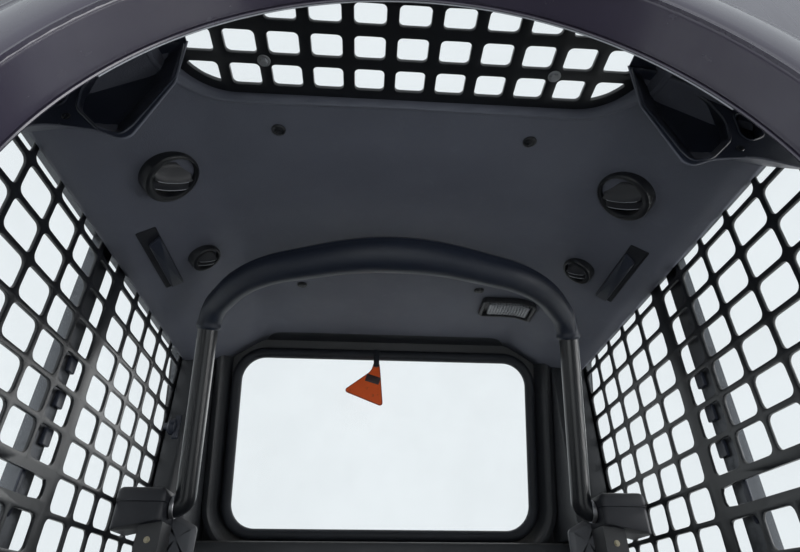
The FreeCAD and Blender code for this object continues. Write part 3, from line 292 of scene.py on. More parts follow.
class Finish:
    """A material whose nodes start from the piece's own place in the cab."""

    def __init__(self, name, slot, **constants):
        self.material = bpy.data.materials.new(name)
        self.material.use_nodes = True
        self.material["slot"] = slot
        self.tree = self.material.node_tree
        self.shader = self.tree.nodes["Principled BSDF"]
        for socket, value in constants.items():
            self.shader.inputs[socket.replace("_", " ")].default_value = value
        self.place = self.node("ShaderNodeTexCoord", {}, {}, "Object")

    def node(self, kind, settings, sockets, output=0):
        made = self.tree.nodes.new(kind)
        for name, value in settings.items():
            if name == "stops":
                ramp = made.color_ramp.elements
                while len(ramp) < len(value):
                    ramp.new(0.5)
                for element, (position, shade) in zip(ramp, value):
                    element.position = position
                    element.color = (shade, shade, shade, 1) if isinstance(shade, float) else shade
            else:
                setattr(made, name, value)
        for name, value in sockets.items():
            self.feed(made.inputs[name], value)
        return Value(self, made.outputs[output])

    def feed(self, socket, value):
        if isinstance(value, Value):
            self.tree.links.new(value.socket, socket)
        else:
            socket.default_value = value

    def drive(self, name, value):
        self.feed(self.shader.inputs[name], value)

    def noise(self, scale, detail=4.0, stretch=(1, 1, 1), roughness=0.55):
        at = self.place
        if stretch != (1, 1, 1):
            at = self.node("ShaderNodeMapping", {}, {"Vector": self.place, "Scale": stretch})
        return self.node("ShaderNodeTexNoise", {}, {"Vector": at, "Scale": scale, "Detail": detail,
                                                    "Roughness": roughness})

    def grain(self, scale, stretch=(1, 1, 1)):
        at = self.node("ShaderNodeMapping", {}, {"Vector": self.place, "Scale": stretch})
        return self.node("ShaderNodeTexVoronoi", {"feature": "F1"}, {"Vector": at, "Scale": scale})

    def between(self, value, low, high):
        """0 below low, 1 above high, straight between them."""
        return self.node("ShaderNodeMapRange", {}, {"Value": value, "From Min": low, "From Max": high})

    def blend(self, share, first, second):
        return self.node("ShaderNodeMix", {"data_type": "RGBA"}, {0: share, 6: first, 7: second}, 2)

    def facing(self, axis):
        """The surface's normal along X, Y or Z."""
        normal = self.node("ShaderNodeNewGeometry", {}, {}, "Normal")
        return self.node("ShaderNodeSeparateXYZ", {}, {0: normal}, axis)

    def where(self, axis):
        """The place along X, Y or Z, in metres."""
        return self.node("ShaderNodeSeparateXYZ", {}, {0: self.place}, axis)

    def bump(self, height, depth):
        made = self.node("ShaderNodeBump", {}, {"Height": height, "Distance": depth}, "Normal")
        self.drive("Normal", made)


def shade(red, green, blue):
    return (red, green, blue, 1.0)


def tinted(colour, share):
    return tuple(min(channel * share, 1.0) for channel in colour[:3]) + (1.0,)


DUST = shade(0.30, 0.28, 0.25)


def dusted(finish, colour, worn, amount, floor_share=0.35):
    """Colour with slow cloudy change, lighter wear in patches, and dust on what faces up."""
    clouds = finish.between(finish.noise(7.0, 5.0), 0.35, 0.68)
    patches = finish.between(finish.noise(38.0, 7.0, roughness=0.65), 0.58, 0.75)
    base = finish.blend(clouds * 0.6, colour, worn)
    base = finish.blend(patches * 0.25, base, tinted(worn, 1.25))
    settled = finish.between(finish.facing("Z"), 0.2, 0.95)
    speck = finish.between(finish.noise(95.0, 8.0, roughness=0.7), 0.42, 0.72)
    dust = settled * (speck * 0.65 + floor_share) * amount
    finish.drive("Base Color", finish.blend(dust, base, DUST))
    return dust


def painted_metal(name, slot, colour, roughness, peel=0.00012, dust=0.5, coat=0.0):
    """Sprayed paint: orange peel, faint rubbed streaks and settled dust."""
    finish = Finish(name, slot, Coat_Weight=coat, Coat_Roughness=0.12)
    settled = dusted(finish, colour, tinted(colour, 1.3), dust)
    streaks = finish.between(finish.noise(60.0, 6.0, (1, 1, 0.12)), 0.5, 0.8)
    finish.drive("Roughness", settled * 0.4 + streaks * 0.1 + roughness)
    chips = finish.between(finish.noise(210.0, 3.0), 0.70, 0.74)
    finish.bump(finish.noise(900.0, 2.0) * 1.0 - chips * 0.7, peel)
    return finish.material


def moulded_plastic(name, slot, colour, roughness, grain_scale=900.0, grain_depth=0.00016, dust=0.4):
    """Textured moulding: pebbled grain, rubbed lighter patches and settled dust."""
    finish = Finish(name, slot, Specular_IOR_Level=0.45)
    settled = dusted(finish, colour, tinted(colour, 1.25), dust)
    pebbles = finish.grain(grain_scale)
    rubbed = finish.between(finish.noise(24.0, 6.0), 0.45, 0.75)
    finish.drive("Roughness", settled * 0.25 - rubbed * 0.08 + roughness)
    finish.bump(pebbles * (1.15 - rubbed) + finish.noise(260.0, 3.0) * 0.5, grain_depth)
    return finish.material


def soft_rubber(name, slot, colour, roughness):
    """Rubber: fine bloom in streaks, almost no gloss."""
    finish = Finish(name, slot, Specular_IOR_Level=0.35)
    bloom = finish.between(finish.noise(45.0, 6.0, (1, 1, 0.3)), 0.45, 0.8)
    finish.drive("Base Color", finish.blend(bloom * 0.5, colour, tinted(colour, 2.2)))
    finish.drive("Roughness", bloom * 0.15 + roughness)
    finish.bump(finish.noise(1100.0, 3.0), 0.0001)
    return finish.material


def clear_sheet(name, slot, colour, clearness, haze=0.10):
    """Thin glass: mostly see-through, with a film of dust that thickens in patches and specks."""
    finish = Finish(name, slot, Roughness=0.03, Base_Color=colour, Specular_IOR_Level=0.6)
    film = finish.between(finish.noise(9.0, 7.0), 0.35, 0.8)
    specks = finish.between(finish.noise(150.0, 2.0), 0.76, 0.80)
    finish.drive("Alpha", film * haze + specks * 0.12 + (1 - clearness))
    finish.drive("Roughness", film * 0.15 + 0.03)
    finish.material.surface_render_method = "BLENDED"
    return finish.material


def brushed_metal(name, slot, colour, roughness):
    """Bare or anodised metal: drawn lines along one way and small dull spots."""
    finish = Finish(name, slot, Metallic=1.0)
    drawn = finish.noise(300.0, 4.0, (1, 0.05, 1))
    spots = finish.between(finish.noise(55.0, 6.0), 0.55, 0.75)
    finish.drive("Base Color", finish.blend(spots * 0.6, colour, tinted(colour, 0.6)))
    finish.drive("Roughness", drawn * 0.15 + spots * 0.2 + roughness)
    finish.bump(drawn, 0.00005)
    return finish.material


def seat_vinyl(name, slot, colour):
    """Leather-grained vinyl: cells of two sizes with creases between them."""
    finish = Finish(name, slot, Sheen_Weight=0.15, Sheen_Roughness=0.5)
    cells = finish.grain(330.0)
    fine = finish.grain(900.0)
    settled = dusted(finish, colour, tinted(colour, 1.5), 0.5)
    finish.drive("Roughness", settled * 0.3 + cells * 0.2 + 0.42)
    finish.bump(cells + fine * 0.4, 0.0005)
    return finish.material


def ribbed_lens(name, slot, colour):
    """Clear moulded lens: straight ribs over a pale reflector."""
    finish = Finish(name, slot, Roughness=0.12, Specular_IOR_Level=0.7)
    ribs = finish.node("ShaderNodeTexWave", {"bands_direction": "X"},
                       {"Vector": finish.place, "Scale": 55.0, "Distortion": 0.0})
    dull = finish.between(finish.noise(40.0, 5.0), 0.4, 0.8)
    finish.drive("Base Color", finish.blend(dull * 0.6, colour, tinted(colour, 0.55)))
    finish.bump(ribs, 0.0012)
    return finish.material


def marker_orange(name, slot, colour):
    """Bright plastic tag, faded in clouds, with rubbed dark marks that form no sign."""
    finish = Finish(name, slot, Roughness=0.4)
    faded = finish.between(finish.noise(30.0, 5.0), 0.4, 0.75)
    grime = finish.between(finish.noise(85.0, 6.0), 0.62, 0.74)
    base = finish.blend(faded * 0.5, colour, tinted(colour, 1.25))
    finish.drive("Base Color", finish.blend(grime * 0.45, base, shade(0.12, 0.05, 0.03)))
    finish.bump(finish.noise(300.0, 4.0), 0.0001)
    return finish.material


FRAME_GREY = shade(0.030, 0.031, 0.034)
SCREEN_BLACK = shade(0.0085, 0.0095, 0.012)
# The blue in the door, liner, pod and sleeve colours is partly their own tone and partly painted shade: a tint that
# stands in for the blue cast of the shaded cab.
DOOR_GREY = shade(0.042, 0.036, 0.056)
LINER_GREY = shade(0.094, 0.100, 0.128)
POD_BLACK = shade(0.020, 0.024, 0.038)
SLEEVE_BLACK = shade(0.010, 0.014, 0.026)
TRIM_GREY = shade(0.022, 0.024, 0.028)

frame_paint = painted_metal("frame_paint", "frame_paint", FRAME_GREY, 0.5, dust=0.35)
screen_paint = painted_metal("screen_paint", "screen_paint", SCREEN_BLACK, 0.32, dust=0.35)
door_paint = painted_metal("door_paint", "door_paint", DOOR_GREY, 0.26, peel=0.00008, coat=0.5)
floor_paint = painted_metal("floor_paint", "floor_paint", FRAME_GREY, 0.5, dust=1.0)
bar_paint = painted_metal("bar_paint", "bar_paint", SCREEN_BLACK, 0.30, dust=0.25, coat=0.15)
window_metal = brushed_metal("window_metal", "window_aluminium", shade(0.11, 0.115, 0.125), 0.36)
zinc = brushed_metal("zinc_plate", "window_aluminium", shade(0.42, 0.38, 0.28), 0.38)
clear_glass = clear_sheet("clear_glass", "glass", shade(0.78, 0.83, 0.86), 0.975, 0.035)
roof_pane = clear_sheet("roof_pane", "glass", shade(0.62, 0.80, 0.86), 0.93, 0.05)
window_rubber = soft_rubber("window_rubber", "gasket_rubber", shade(0.013, 0.015, 0.020), 0.55)
vent_grey = moulded_plastic("vent_grey", "vent_plastic", shade(0.030, 0.031, 0.036), 0.40, 1200.0, 0.0001)
door_gloss = painted_metal("door_gloss", "door_paint", DOOR_GREY, 0.22, peel=0.00006, coat=0.6)
trim_light = moulded_plastic("trim_light", "trim_plastic", shade(0.075, 0.078, 0.088), 0.45)
# Light grey for thin rods that are painted highlights: the bright rear edges of the vent blades and the bright rear
# edge of the door arch.
painted_highlight_grey = moulded_plastic("painted_highlight_grey", "vent_plastic", shade(0.30, 0.31, 0.34), 0.35, 1200.0, 0.0001)
tag_dark = moulded_plastic("tag_dark", "tag_plastic", shade(0.055, 0.035, 0.035), 0.45)
lamp_housing = moulded_plastic("lamp_housing", "lamp_lens", shade(0.010, 0.011, 0.014), 0.45)
housing_black = moulded_plastic("housing_black", "pod_plastic", shade(0.011, 0.012, 0.017), 0.5, dust=0.15)
# Near black for the thin tray on the cove: painted shade standing in for the dark inside of the side pocket.
pocket_painted_shade = moulded_plastic("pocket_painted_shade", "pod_plastic", shade(0.006, 0.007, 0.012), 0.6)
bolt_grey = brushed_metal("bolt_grey", "screen_paint", shade(0.42, 0.43, 0.45), 0.4)
bushing_steel = brushed_metal("bushing_steel", "bar_paint", shade(0.45, 0.45, 0.47), 0.35)
tread = soft_rubber("tread", "tread_rubber", shade(0.018, 0.018, 0.019), 0.7)
liner = moulded_plastic("liner", "liner_plastic", LINER_GREY, 0.62, 700.0, 0.0002, 0.2)
vent_black = moulded_plastic("vent_black", "vent_plastic", SCREEN_BLACK, 0.42, 1200.0, 0.0001)
trim = moulded_plastic("trim", "trim_plastic", TRIM_GREY, 0.45)
pod_black = moulded_plastic("pod_black", "pod_plastic", POD_BLACK, 0.40, 1000.0, 0.00012)
sleeve = moulded_plastic("sleeve", "sleeve_plastic", SLEEVE_BLACK, 0.50, 800.0, 0.00015, 0.15)
lamp_lens = ribbed_lens("lamp_lens", "lamp_lens", shade(0.22, 0.23, 0.25))
tag_orange = marker_orange("tag_orange", "tag_plastic", shade(0.86, 0.12, 0.02))
vinyl = seat_vinyl("vinyl", "seat_vinyl", shade(0.016, 0.016, 0.018))

FINISH_OF_SLOT = {
    "frame_paint": frame_paint, "screen_paint": screen_paint, "door_paint": door_paint,
    "floor_paint": floor_paint, "bar_paint": bar_paint, "window_aluminium": window_metal,
    "glass": clear_glass, "gasket_rubber": window_rubber, "tread_rubber": tread,
    "liner_plastic": liner, "vent_plastic": vent_black, "trim_plastic": trim,
    "pod_plastic": pod_black, "sleeve_plastic": sleeve, "lamp_lens": lamp_lens,
    "tag_plastic": tag_orange, "seat_vinyl": vinyl,
}
for row in frame["record"]["subparts"]:
    mesh = frame["nodes"][row["node"]].data
    mesh.materials.clear()
    mesh.materials.append(FINISH_OF_SLOT[row["material_slot"]])


# Where the cab's faces lie

LEAN = math.radians(18.9)
WINDOW_MIDDLE = (0.0, 0.4842, 1.1885)
WINDOW_HALF = (0.318, 0.178)
WINDOW_CORNER = 0.052
REAR_WALL = (WINDOW_MIDDLE, ACROSS, (0.0, -math.sin(LEAN), math.cos(LEAN)))
LEVEL_PLANE = ((0.0, 0.0, 0.0), ACROSS, ALONG)
COVE_START = 0.270
COVE_END = 0.400
COVE_FALL = 0.6
LINER_LOW = 1.398
LINER_HALF = 0.428
LINER_SKIN = 0.004
LINER_RAMP_START = -0.190
LINER_RAMP = 0.006


def bent(distance, softness):
    """Zero below zero and the distance above it, with a soft turn: log of one plus exponential."""
    return softness * np.logaddexp(0, distance / softness)


def liner_height(x, y=0.0):
    """Underside of the headliner: flat, then a slope from the cove's start to its end, with soft
    turns, and a low ramp up to the roof window."""
    out = np.abs(x)
    fall = bent(out - COVE_START, 0.010) - bent(out - COVE_END, 0.008)
    ramp = LINER_RAMP / (1 + np.exp((y - LINER_RAMP_START) / 0.008))
    return LINER_LOW - COVE_FALL * fall + ramp * (1 - out / LINER_HALF)


def wall_y(height, off=0.0):
    """Y of the leaning rear wall's inner face, or of a face off it, at a height."""
    return WINDOW_MIDDLE[1] - (height - WINDOW_MIDDLE[2]) * math.tan(LEAN) - off / math.cos(LEAN)


def cove_plane(side_out, y):
    """Plane on the right cove's underside, facing into the cab."""
    slope = math.atan(COVE_FALL)
    place = (COVE_START + side_out, y, LINER_LOW - COVE_FALL * side_out)
    return place, (-math.cos(slope), 0.0, math.sin(slope)), ALONG


# Punched cells of the screens and of the roof grille: a rolled rim round each cell

CELL_PITCH = np.array([0.0645, 0.048])
CELL_BAR = 0.010
CELL_ROWS = 12
CELL_CORNER = 0.0095
TOP_ROW = 1.331
REAR_COLUMN = 0.334
REAR_COLUMNS = 5
FRONT_COLUMNS = 8
MULLION = 0.028
POST_DEPTH = 0.060
LATCH_ROW = 7
LATCH_COLUMNS = 5
LATCH_HALF = (0.15625, 0.013)


def within(points, middle, half, radius):
    """Inside a rounded rectangle: the part of a point past the corner centres is no longer than the
    radius."""
    past = np.maximum(np.abs(points - middle) - (half - radius), 0)
    return np.linalg.norm(past, axis=-1) <= radius


def edge_along(centres, directions, inside):
    """Where rays from the centres leave a region: the step across its edge is halved thirty times."""
    near = np.zeros(directions.shape[:-1] + (1,))
    far = near + 0.45
    for halving in range(30):
        middle = (near + far) / 2
        kept = inside(centres[:, None] + middle * directions)[..., None]
        near, far = np.where(kept, middle, near), np.where(kept, far, middle)
    return centres[:, None] + near * directions


def punched_plate(tiles, in_outline, in_hole, thick, steps):
    """A solid ring per tile: rays from its centre, at turns that crowd towards the corners, give the
    hole's edge and the tile's edge; the rows go round the plate's section between the two."""
    centres, lower, upper, holed = tiles
    side = np.sin(np.linspace(-math.pi / 2, math.pi / 2, steps, endpoint=False))
    one = np.ones(steps)
    square = np.concatenate([np.stack(pair, -1) for pair in ((one, side), (-side, one), (-one, -side),
                                                            (side, -one))])
    directions = unit(square * np.minimum(upper - lower, 0.33)[:, None])
    tile = edge_along(centres, directions, lambda points: in_outline(points)
                      & ((points >= lower[:, None]) & (points <= upper[:, None])).all(-1))
    hole = edge_along(centres, directions, in_hole)
    hole = centres[:, None] + (hole - centres[:, None]) * holed[:, None, None]
    outward = directions * holed[:, None, None]
    half = thick / 2
    profile = [(0.0018, -half), (0.0005, 0.0003 - half), (0.0, 0.0012 - half),
               (0.0, half - 0.0012), (0.0005, half - 0.0003), (0.0018, half)]
    rings = [(tile, -half)] + [(hole + out * outward, level) for out, level in profile] + [(tile, half)]
    return np.stack([np.concatenate([ring, np.full(ring.shape[:2] + (1,), level)], -1)
                     for ring, level in rings], axis=1)


def front_post_line(height):
    """Y of the front post's rear edge: straight from foot to knee and from knee to roof."""
    return np.interp(height, [0.0, 0.86, 1.44], [-0.650, -0.490, -0.445]) + POST_DEPTH


PLATE_LAP = 0.030
PLATE_LOW = 0.755
PLATE_HIGH = 1.410
HOLE_BAR = 0.0072


def screen_front(height):
    """The front post's line drawn in by the plate's lap."""
    return front_post_line(height) - POST_DEPTH + PLATE_LAP


def screen_rear(height):
    """The rear post's straight line drawn in by the plate's lap."""
    return np.interp(height, [0.905, 1.440], [0.650, 0.4668]) - PLATE_LAP / math.cos(LEAN)


def in_screen(points):
    """Inside the side screen: behind the front post's line, before the rear post's, between its lower
    and upper edges."""
    along, height = points[..., 0], points[..., 1]
    return ((along >= screen_front(height)) & (along <= screen_rear(height))
            & (height >= PLATE_LOW) & (height <= PLATE_HIGH))


def screen_tiles():
    """Centre, lower and upper limits of every tile, and one for a tile with a hole and zero for a
    blank one; the last tile spans the latch's slot."""
    hole = (CELL_PITCH - CELL_BAR) / 2
    front_first = REAR_COLUMN - (REAR_COLUMNS - 1) * CELL_PITCH[0] - 2 * hole[0] - MULLION
    columns = np.concatenate([REAR_COLUMN - np.arange(REAR_COLUMNS) * CELL_PITCH[0],
                              front_first - np.arange(FRONT_COLUMNS) * CELL_PITCH[0]])
    rear_edge = columns + CELL_PITCH[0] / 2
    rear_edge[REAR_COLUMNS] = (columns[REAR_COLUMNS - 1] + columns[REAR_COLUMNS]) / 2
    front_edge = np.append(rear_edge[1:], columns[-1] - CELL_PITCH[0] / 2)
    rows = TOP_ROW - np.arange(CELL_ROWS) * CELL_PITCH[1]
    column, row = np.meshgrid(np.arange(len(columns)), np.arange(CELL_ROWS), indexing="ij")
    middles = np.stack([columns[column], rows[row]], -1)
    upper = np.stack([rear_edge[column], rows[row] + CELL_PITCH[1] / 2], -1)
    lower = np.stack([front_edge[column], rows[row] - CELL_PITCH[1] / 2], -1)
    kept = in_screen(middles - [0.004, 0.0])
    clear = middles[..., 0] - hole[0] >= front_post_line(middles[..., 1] - hole[1]) + CELL_BAR / 2
    latch = (row == LATCH_ROW) & (column >= REAR_COLUMNS) & (column < REAR_COLUMNS + LATCH_COLUMNS)
    chosen = kept & ~latch
    slot_middle = [front_first + hole[0] - LATCH_HALF[0], rows[LATCH_ROW]]
    return (np.concatenate([middles[chosen], [slot_middle]]),
            np.concatenate([lower[chosen], [lower[latch].min(0)]]),
            np.concatenate([upper[chosen], [upper[latch].max(0)]]),
            np.append(clear[chosen], True).astype(float))


def strip(front, rear, heights, half):
    """A flat bar of plate: at each height a thin rectangle from a front to a rear place."""
    heights = np.asarray(heights)
    front, rear = np.broadcast_to(front, heights.shape), np.broadcast_to(rear, heights.shape)
    corners = [(front, -half), (rear, -half), (rear, half), (front, half)]
    rows = np.stack([np.stack([along, heights, np.full(heights.shape, level)], -1)
                     for along, level in corners], axis=1)
    return capped(rows), False, True


def screen_margins(half):
    """The plain edges round the tiles and the upright bar between the two groups of cells."""
    whole = np.linspace(PLATE_LOW, PLATE_HIGH, 40)
    top = np.linspace(TOP_ROW + CELL_PITCH[1] / 2 - 0.0025, PLATE_HIGH, 6)
    bottom = np.linspace(PLATE_LOW, TOP_ROW - (CELL_ROWS - 0.5) * CELL_PITCH[1] + 0.0025, 6)
    bar = REAR_COLUMN - (REAR_COLUMNS - 0.5) * CELL_PITCH[0] - MULLION_SHIFT
    return [strip(screen_front(whole), screen_front(whole) + 0.034, whole, half),
            strip(REAR_COLUMN + CELL_PITCH[0] / 2 - 0.0022, screen_rear(whole), whole, half),
            strip(bar - 0.0115, bar + 0.0115, whole, half),
            strip(screen_front(top), screen_rear(top), top, half),
            strip(screen_front(bottom), screen_rear(bottom), bottom, half)]


MULLION_SHIFT = (MULLION - CELL_BAR) / 2
tiles = screen_tiles()
hole_half = np.broadcast_to((CELL_PITCH - HOLE_BAR) / 2, tiles[0].shape).copy()
hole_half[-1] = LATCH_HALF
for side, sign in SIDES:
    low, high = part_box("side_screen_" + side)
    plate = punched_plate(tiles, in_screen, lambda points: within(
        points, tiles[0][:, None], hole_half[:, None], CELL_CORNER), high.x - low.x, 12)
    upright_parts = []
    for grid, around, along in [(plate, True, True)] + screen_margins((high.x - low.x) / 2 - 0.0002):
        places = np.stack([grid[..., 2] + (low.x + high.x) / 2, grid[..., 0], grid[..., 1]], -1)
        upright_parts.append((places, around, along))
    add_piece("punched_screen_" + side, upright_parts, screen_paint,
              replaces=("side_screen_" + side,), merged=False)

GRILLE_PITCH = np.array([0.0496, 0.0436])
GRILLE_BAR = 0.014
GRILLE_COLUMNS = 11
GRILLE_ROWS = 3
GRILLE_REAR_ROW = -0.280
GRILLE_CORNER = 0.0060
GRILLE_HALF = 0.292
GRILLE_FRONT = -0.392
GRILLE_REAR = -0.251
GRILLE_REAR_CORNER = 0.078
GRILLE_FRONT_CORNER = 0.015
GRILLE_MARGIN = 0.0142


def in_grille(points, margin):
    """Inside the roof window's outline drawn in by a margin: large rear corners, small front ones."""
    wide = GRILLE_HALF - margin
    deep = (GRILLE_REAR - GRILLE_FRONT) / 2 - margin
    rear = within(points, np.array([0.0, GRILLE_REAR - margin - wide]), np.array([wide, wide]),
                  GRILLE_REAR_CORNER - margin)
    front = within(points, np.array([0.0, (GRILLE_FRONT + GRILLE_REAR) / 2]), np.array([wide, deep]),
                   max(GRILLE_FRONT_CORNER - margin, 0.001))
    return rear & front


def grille_tiles():
    """Centres and limits of the grille's tiles."""
    columns = (np.arange(GRILLE_COLUMNS) - (GRILLE_COLUMNS - 1) / 2) * GRILLE_PITCH[0]
    rows = GRILLE_REAR_ROW - np.arange(GRILLE_ROWS) * GRILLE_PITCH[1]
    centres = np.stack(np.meshgrid(columns, rows), -1).reshape(-1, 2)
    return centres, centres - GRILLE_PITCH / 2, centres + GRILLE_PITCH / 2, np.ones(len(centres))


low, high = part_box("roof_grille")
tiles = grille_tiles()
hole_low = tiles[0] - (GRILLE_PITCH - GRILLE_BAR) / 2
hole_high = tiles[0] + (GRILLE_PITCH - GRILLE_BAR) / 2
hole_low[:, 1] = np.maximum(hole_low[:, 1], GRILLE_FRONT + GRILLE_MARGIN)
plate = punched_plate(tiles, lambda points: in_grille(points, 0.0), lambda points: in_grille(
    points, GRILLE_MARGIN) & within(points, ((hole_low + hole_high) / 2)[:, None],
                                    ((hole_high - hole_low) / 2)[:, None], GRILLE_CORNER),
    high.z - low.z, 16)
grille_corners = [(GRILLE_HALF, GRILLE_REAR), (-GRILLE_HALF, GRILLE_REAR), (-GRILLE_HALF, GRILLE_FRONT),
                  (GRILLE_HALF, GRILLE_FRONT)]
grille_radii = [GRILLE_REAR_CORNER, GRILLE_REAR_CORNER, GRILLE_FRONT_CORNER, GRILLE_FRONT_CORNER]
grille_edge = evenly(filleted(grille_corners, grille_radii, 20), 480, True)
margin_half = (high.z - low.z) / 2 - 0.0002
margin = band(grille_edge, [(0.0006 - GRILLE_MARGIN, -margin_half), (0.0, -margin_half), (0.0, margin_half),
                            (0.0006 - GRILLE_MARGIN, margin_half)],
              ((0.0, 0.0, (low.z + high.z) / 2), ACROSS, ALONG))
add_piece("grille_plate", [(plate + [0, 0, (low.z + high.z) / 2], True, True), margin], screen_paint,
          replaces=("roof_grille",), merged=False)


# Headliner: a shell round the roof window with a rolled lip

HOLE_HALF = 0.290
HOLE_FRONT = -0.392
HOLE_REAR = -0.253
HOLE_REAR_CORNER = 0.076
HOLE_FRONT_CORNER = 0.015
LINER_FRONT = -0.400


def quarter(out, radius, half):
    """How far a rounded corner falls back from a straight edge at a distance from its middle."""
    over = np.clip(np.abs(out) - (half - radius), 0, radius)
    return radius - np.sqrt(radius ** 2 - over ** 2)


def liner_block(x, y):
    """Middle of the shell's skin over a grid of places."""
    return np.stack([x, y, liner_height(x, y) + LINER_SKIN / 2], -1), False, False


behind = np.linspace(0, 1, 50)[None, :] ** 1.6
across_hole = HOLE_HALF * np.sin(np.linspace(-1, 1, 109) * math.pi / 2)[:, None]
across_side = np.linspace(HOLE_HALF, LINER_HALF, 30)[:, None]
hole_rear = HOLE_REAR - quarter(across_hole, HOLE_REAR_CORNER, HOLE_HALF)
hole_front = HOLE_FRONT + quarter(across_hole, HOLE_FRONT_CORNER, HOLE_HALF)
rear_edge = wall_y(liner_height(across_hole), 0.0030)
side_edge = wall_y(liner_height(across_side), 0.0030)
front_share = np.linspace(0, 1, 4)[None, :]
side_start = HOLE_REAR - HOLE_REAR_CORNER
rear_y = hole_rear + behind * (rear_edge - hole_rear)
front_y = LINER_FRONT + front_share * (hole_front - LINER_FRONT)
side_y = side_start + behind * (side_edge - side_start)
side_x = np.broadcast_to(across_side, side_y.shape)
add_piece("headliner_shell", [
    liner_block(np.broadcast_to(across_hole, rear_y.shape), rear_y),
    liner_block(np.broadcast_to(across_hole, front_y.shape), front_y),
    liner_block(side_x, side_y), liner_block(-side_x, side_y)],
    liner, replaces=("headliner",), skin=LINER_SKIN)

hole_middle = np.array([0.0, (HOLE_FRONT + HOLE_REAR) / 2])
hole_corners = [(HOLE_HALF, HOLE_REAR), (-HOLE_HALF, HOLE_REAR), (-HOLE_HALF, HOLE_FRONT), (HOLE_HALF, HOLE_FRONT)]
hole_outline = evenly(filleted(hole_corners, [HOLE_REAR_CORNER, HOLE_REAR_CORNER, HOLE_FRONT_CORNER,
                                              HOLE_FRONT_CORNER], 16), 360, True)
LIP = [(-0.0004, 0.0165), (-0.0004, 0.0010), (0.0002, -0.0008), (0.0016, -0.0018), (0.0034, -0.0018),
       (0.0050, -0.0008), (0.0056, 0.0012), (0.0042, 0.0030), (0.0036, 0.0165)]
lip = stacked(hole_outline, LIP, LEVEL_PLANE)
lip_top = 1.4146
lip[..., 2] += liner_height(lip[..., 0], lip[..., 1])
lip[[0, -1], :, 2] = lip_top
add_piece("roof_window_lip", [(lip, True, True)], liner)


# Air vents in the coves

VENTS = [(0.3145, -0.148, 0.0385, 0.0300), (0.3145, 0.045, 0.0250, 0.0190)]
VENT_TILT = 0.72
VENT_TURN = 0.62


def vent_plane(x, y):
    """Plane of a vent that leans out of the cove towards the cab's middle."""
    place = (x, y, float(liner_height(x)) - 0.0060)
    return place, (-math.cos(VENT_TILT), 0.0, math.sin(VENT_TILT)), ALONG


def turned_plane(plane, turn):
    """The same plane with its two directions turned in it."""
    place, across, upward = plane
    across, upward = np.array(across), np.array(upward)
    return (place, across * math.cos(turn) + upward * math.sin(turn),
            upward * math.cos(turn) - across * math.sin(turn))


def vent_ring(plane, outer, inner):
    """Circles stacked into a thick ring whose opening lies nearer the cab's middle."""
    turn = np.linspace(0, 2 * math.pi, 72, endpoint=False)
    ring = np.stack([np.cos(turn), np.sin(turn)], -1)
    aside = (outer - inner) * 0.35
    rows = [(outer, -0.0180, 0.0), (outer, 0.0052, 0.0), (outer - 0.0008, 0.0068, 0.0),
            (outer - 0.0028, 0.0079, 0.1), (outer - 0.0045, 0.0083, 0.3), (inner + 0.0028, 0.0081, 0.9),
            (inner + 0.0008, 0.0074, 1.0), (inner, 0.0060, 1.0), (inner - 0.0006, -0.0060, 1.0)]
    # The last row is closed over by a black floor: a dark sheet that stands in for the shade inside the duct.
    loops = [flat(ring * radius + [aside * share, 0], level, *plane) for radius, level, share in rows]
    return capped(np.stack(loops)), False, True


def vent_blade(plane, radius, aside, front_edge, rear_edge, low, high):
    """Curved louvre: for each place across it, rows from a front bow to a rear bow with a lip."""
    across = np.linspace(-1, 1, 33)[:, None]
    bow = np.sqrt(1 - across ** 2)
    front = front_edge[0] + front_edge[1] * bow
    rear = rear_edge[0] + rear_edge[1] * bow
    share = np.array([0.0, 0.3, 0.6, 0.85, 0.95, 1.0])
    level = low + (high - low) * share ** 1.5 + np.array([0, 0, 0, 0, 0.0004, 0.0014])
    along = front + (rear - front) * share
    wide = np.broadcast_to(across * 0.93, along.shape)
    outline = np.stack([wide * radius + aside, along * radius], -1)
    return flat(outline, np.broadcast_to(level, along.shape), *plane), False, False


vent_rings, vent_blades, vent_highlight_rods = [], [], []
for out, y, outer, inner in VENTS:
    plane = vent_plane(out, y)
    aside = (outer - inner) * 0.35
    vent_rings.append(vent_ring(plane, outer, inner))
    for front_edge, rear_edge in (((-0.30, -0.40), (0.02, 0.20)), ((0.20, 0.20), (0.42, 0.20))):
        louvre_plane = turned_plane(plane, VENT_TURN)
        blade = vent_blade(louvre_plane, inner, aside * 0.8, front_edge, rear_edge, -0.0030, 0.0052)
        vent_blades.append(blade)
        # A thin light grey rod along each blade's rear lip: a painted highlight of its bright edge.
        vent_highlight_rods.append(rod(blade[0][3:-3, -1], circle_profile(0.0006, 8), UP))
for side, sign in SIDES:
    turned = (lambda parts: parts) if sign > 0 else mirrored
    add_piece("vent_rings_" + side, turned(vent_rings), vent_black, replaces=("vents_" + side,))
    add_piece("vent_blades_" + side, turned(vent_blades), vent_grey, skin=0.0014)
    add_piece("vent_edges_" + side, turned(vent_highlight_rods), painted_highlight_grey)
# Corner pods behind the top of the door opening

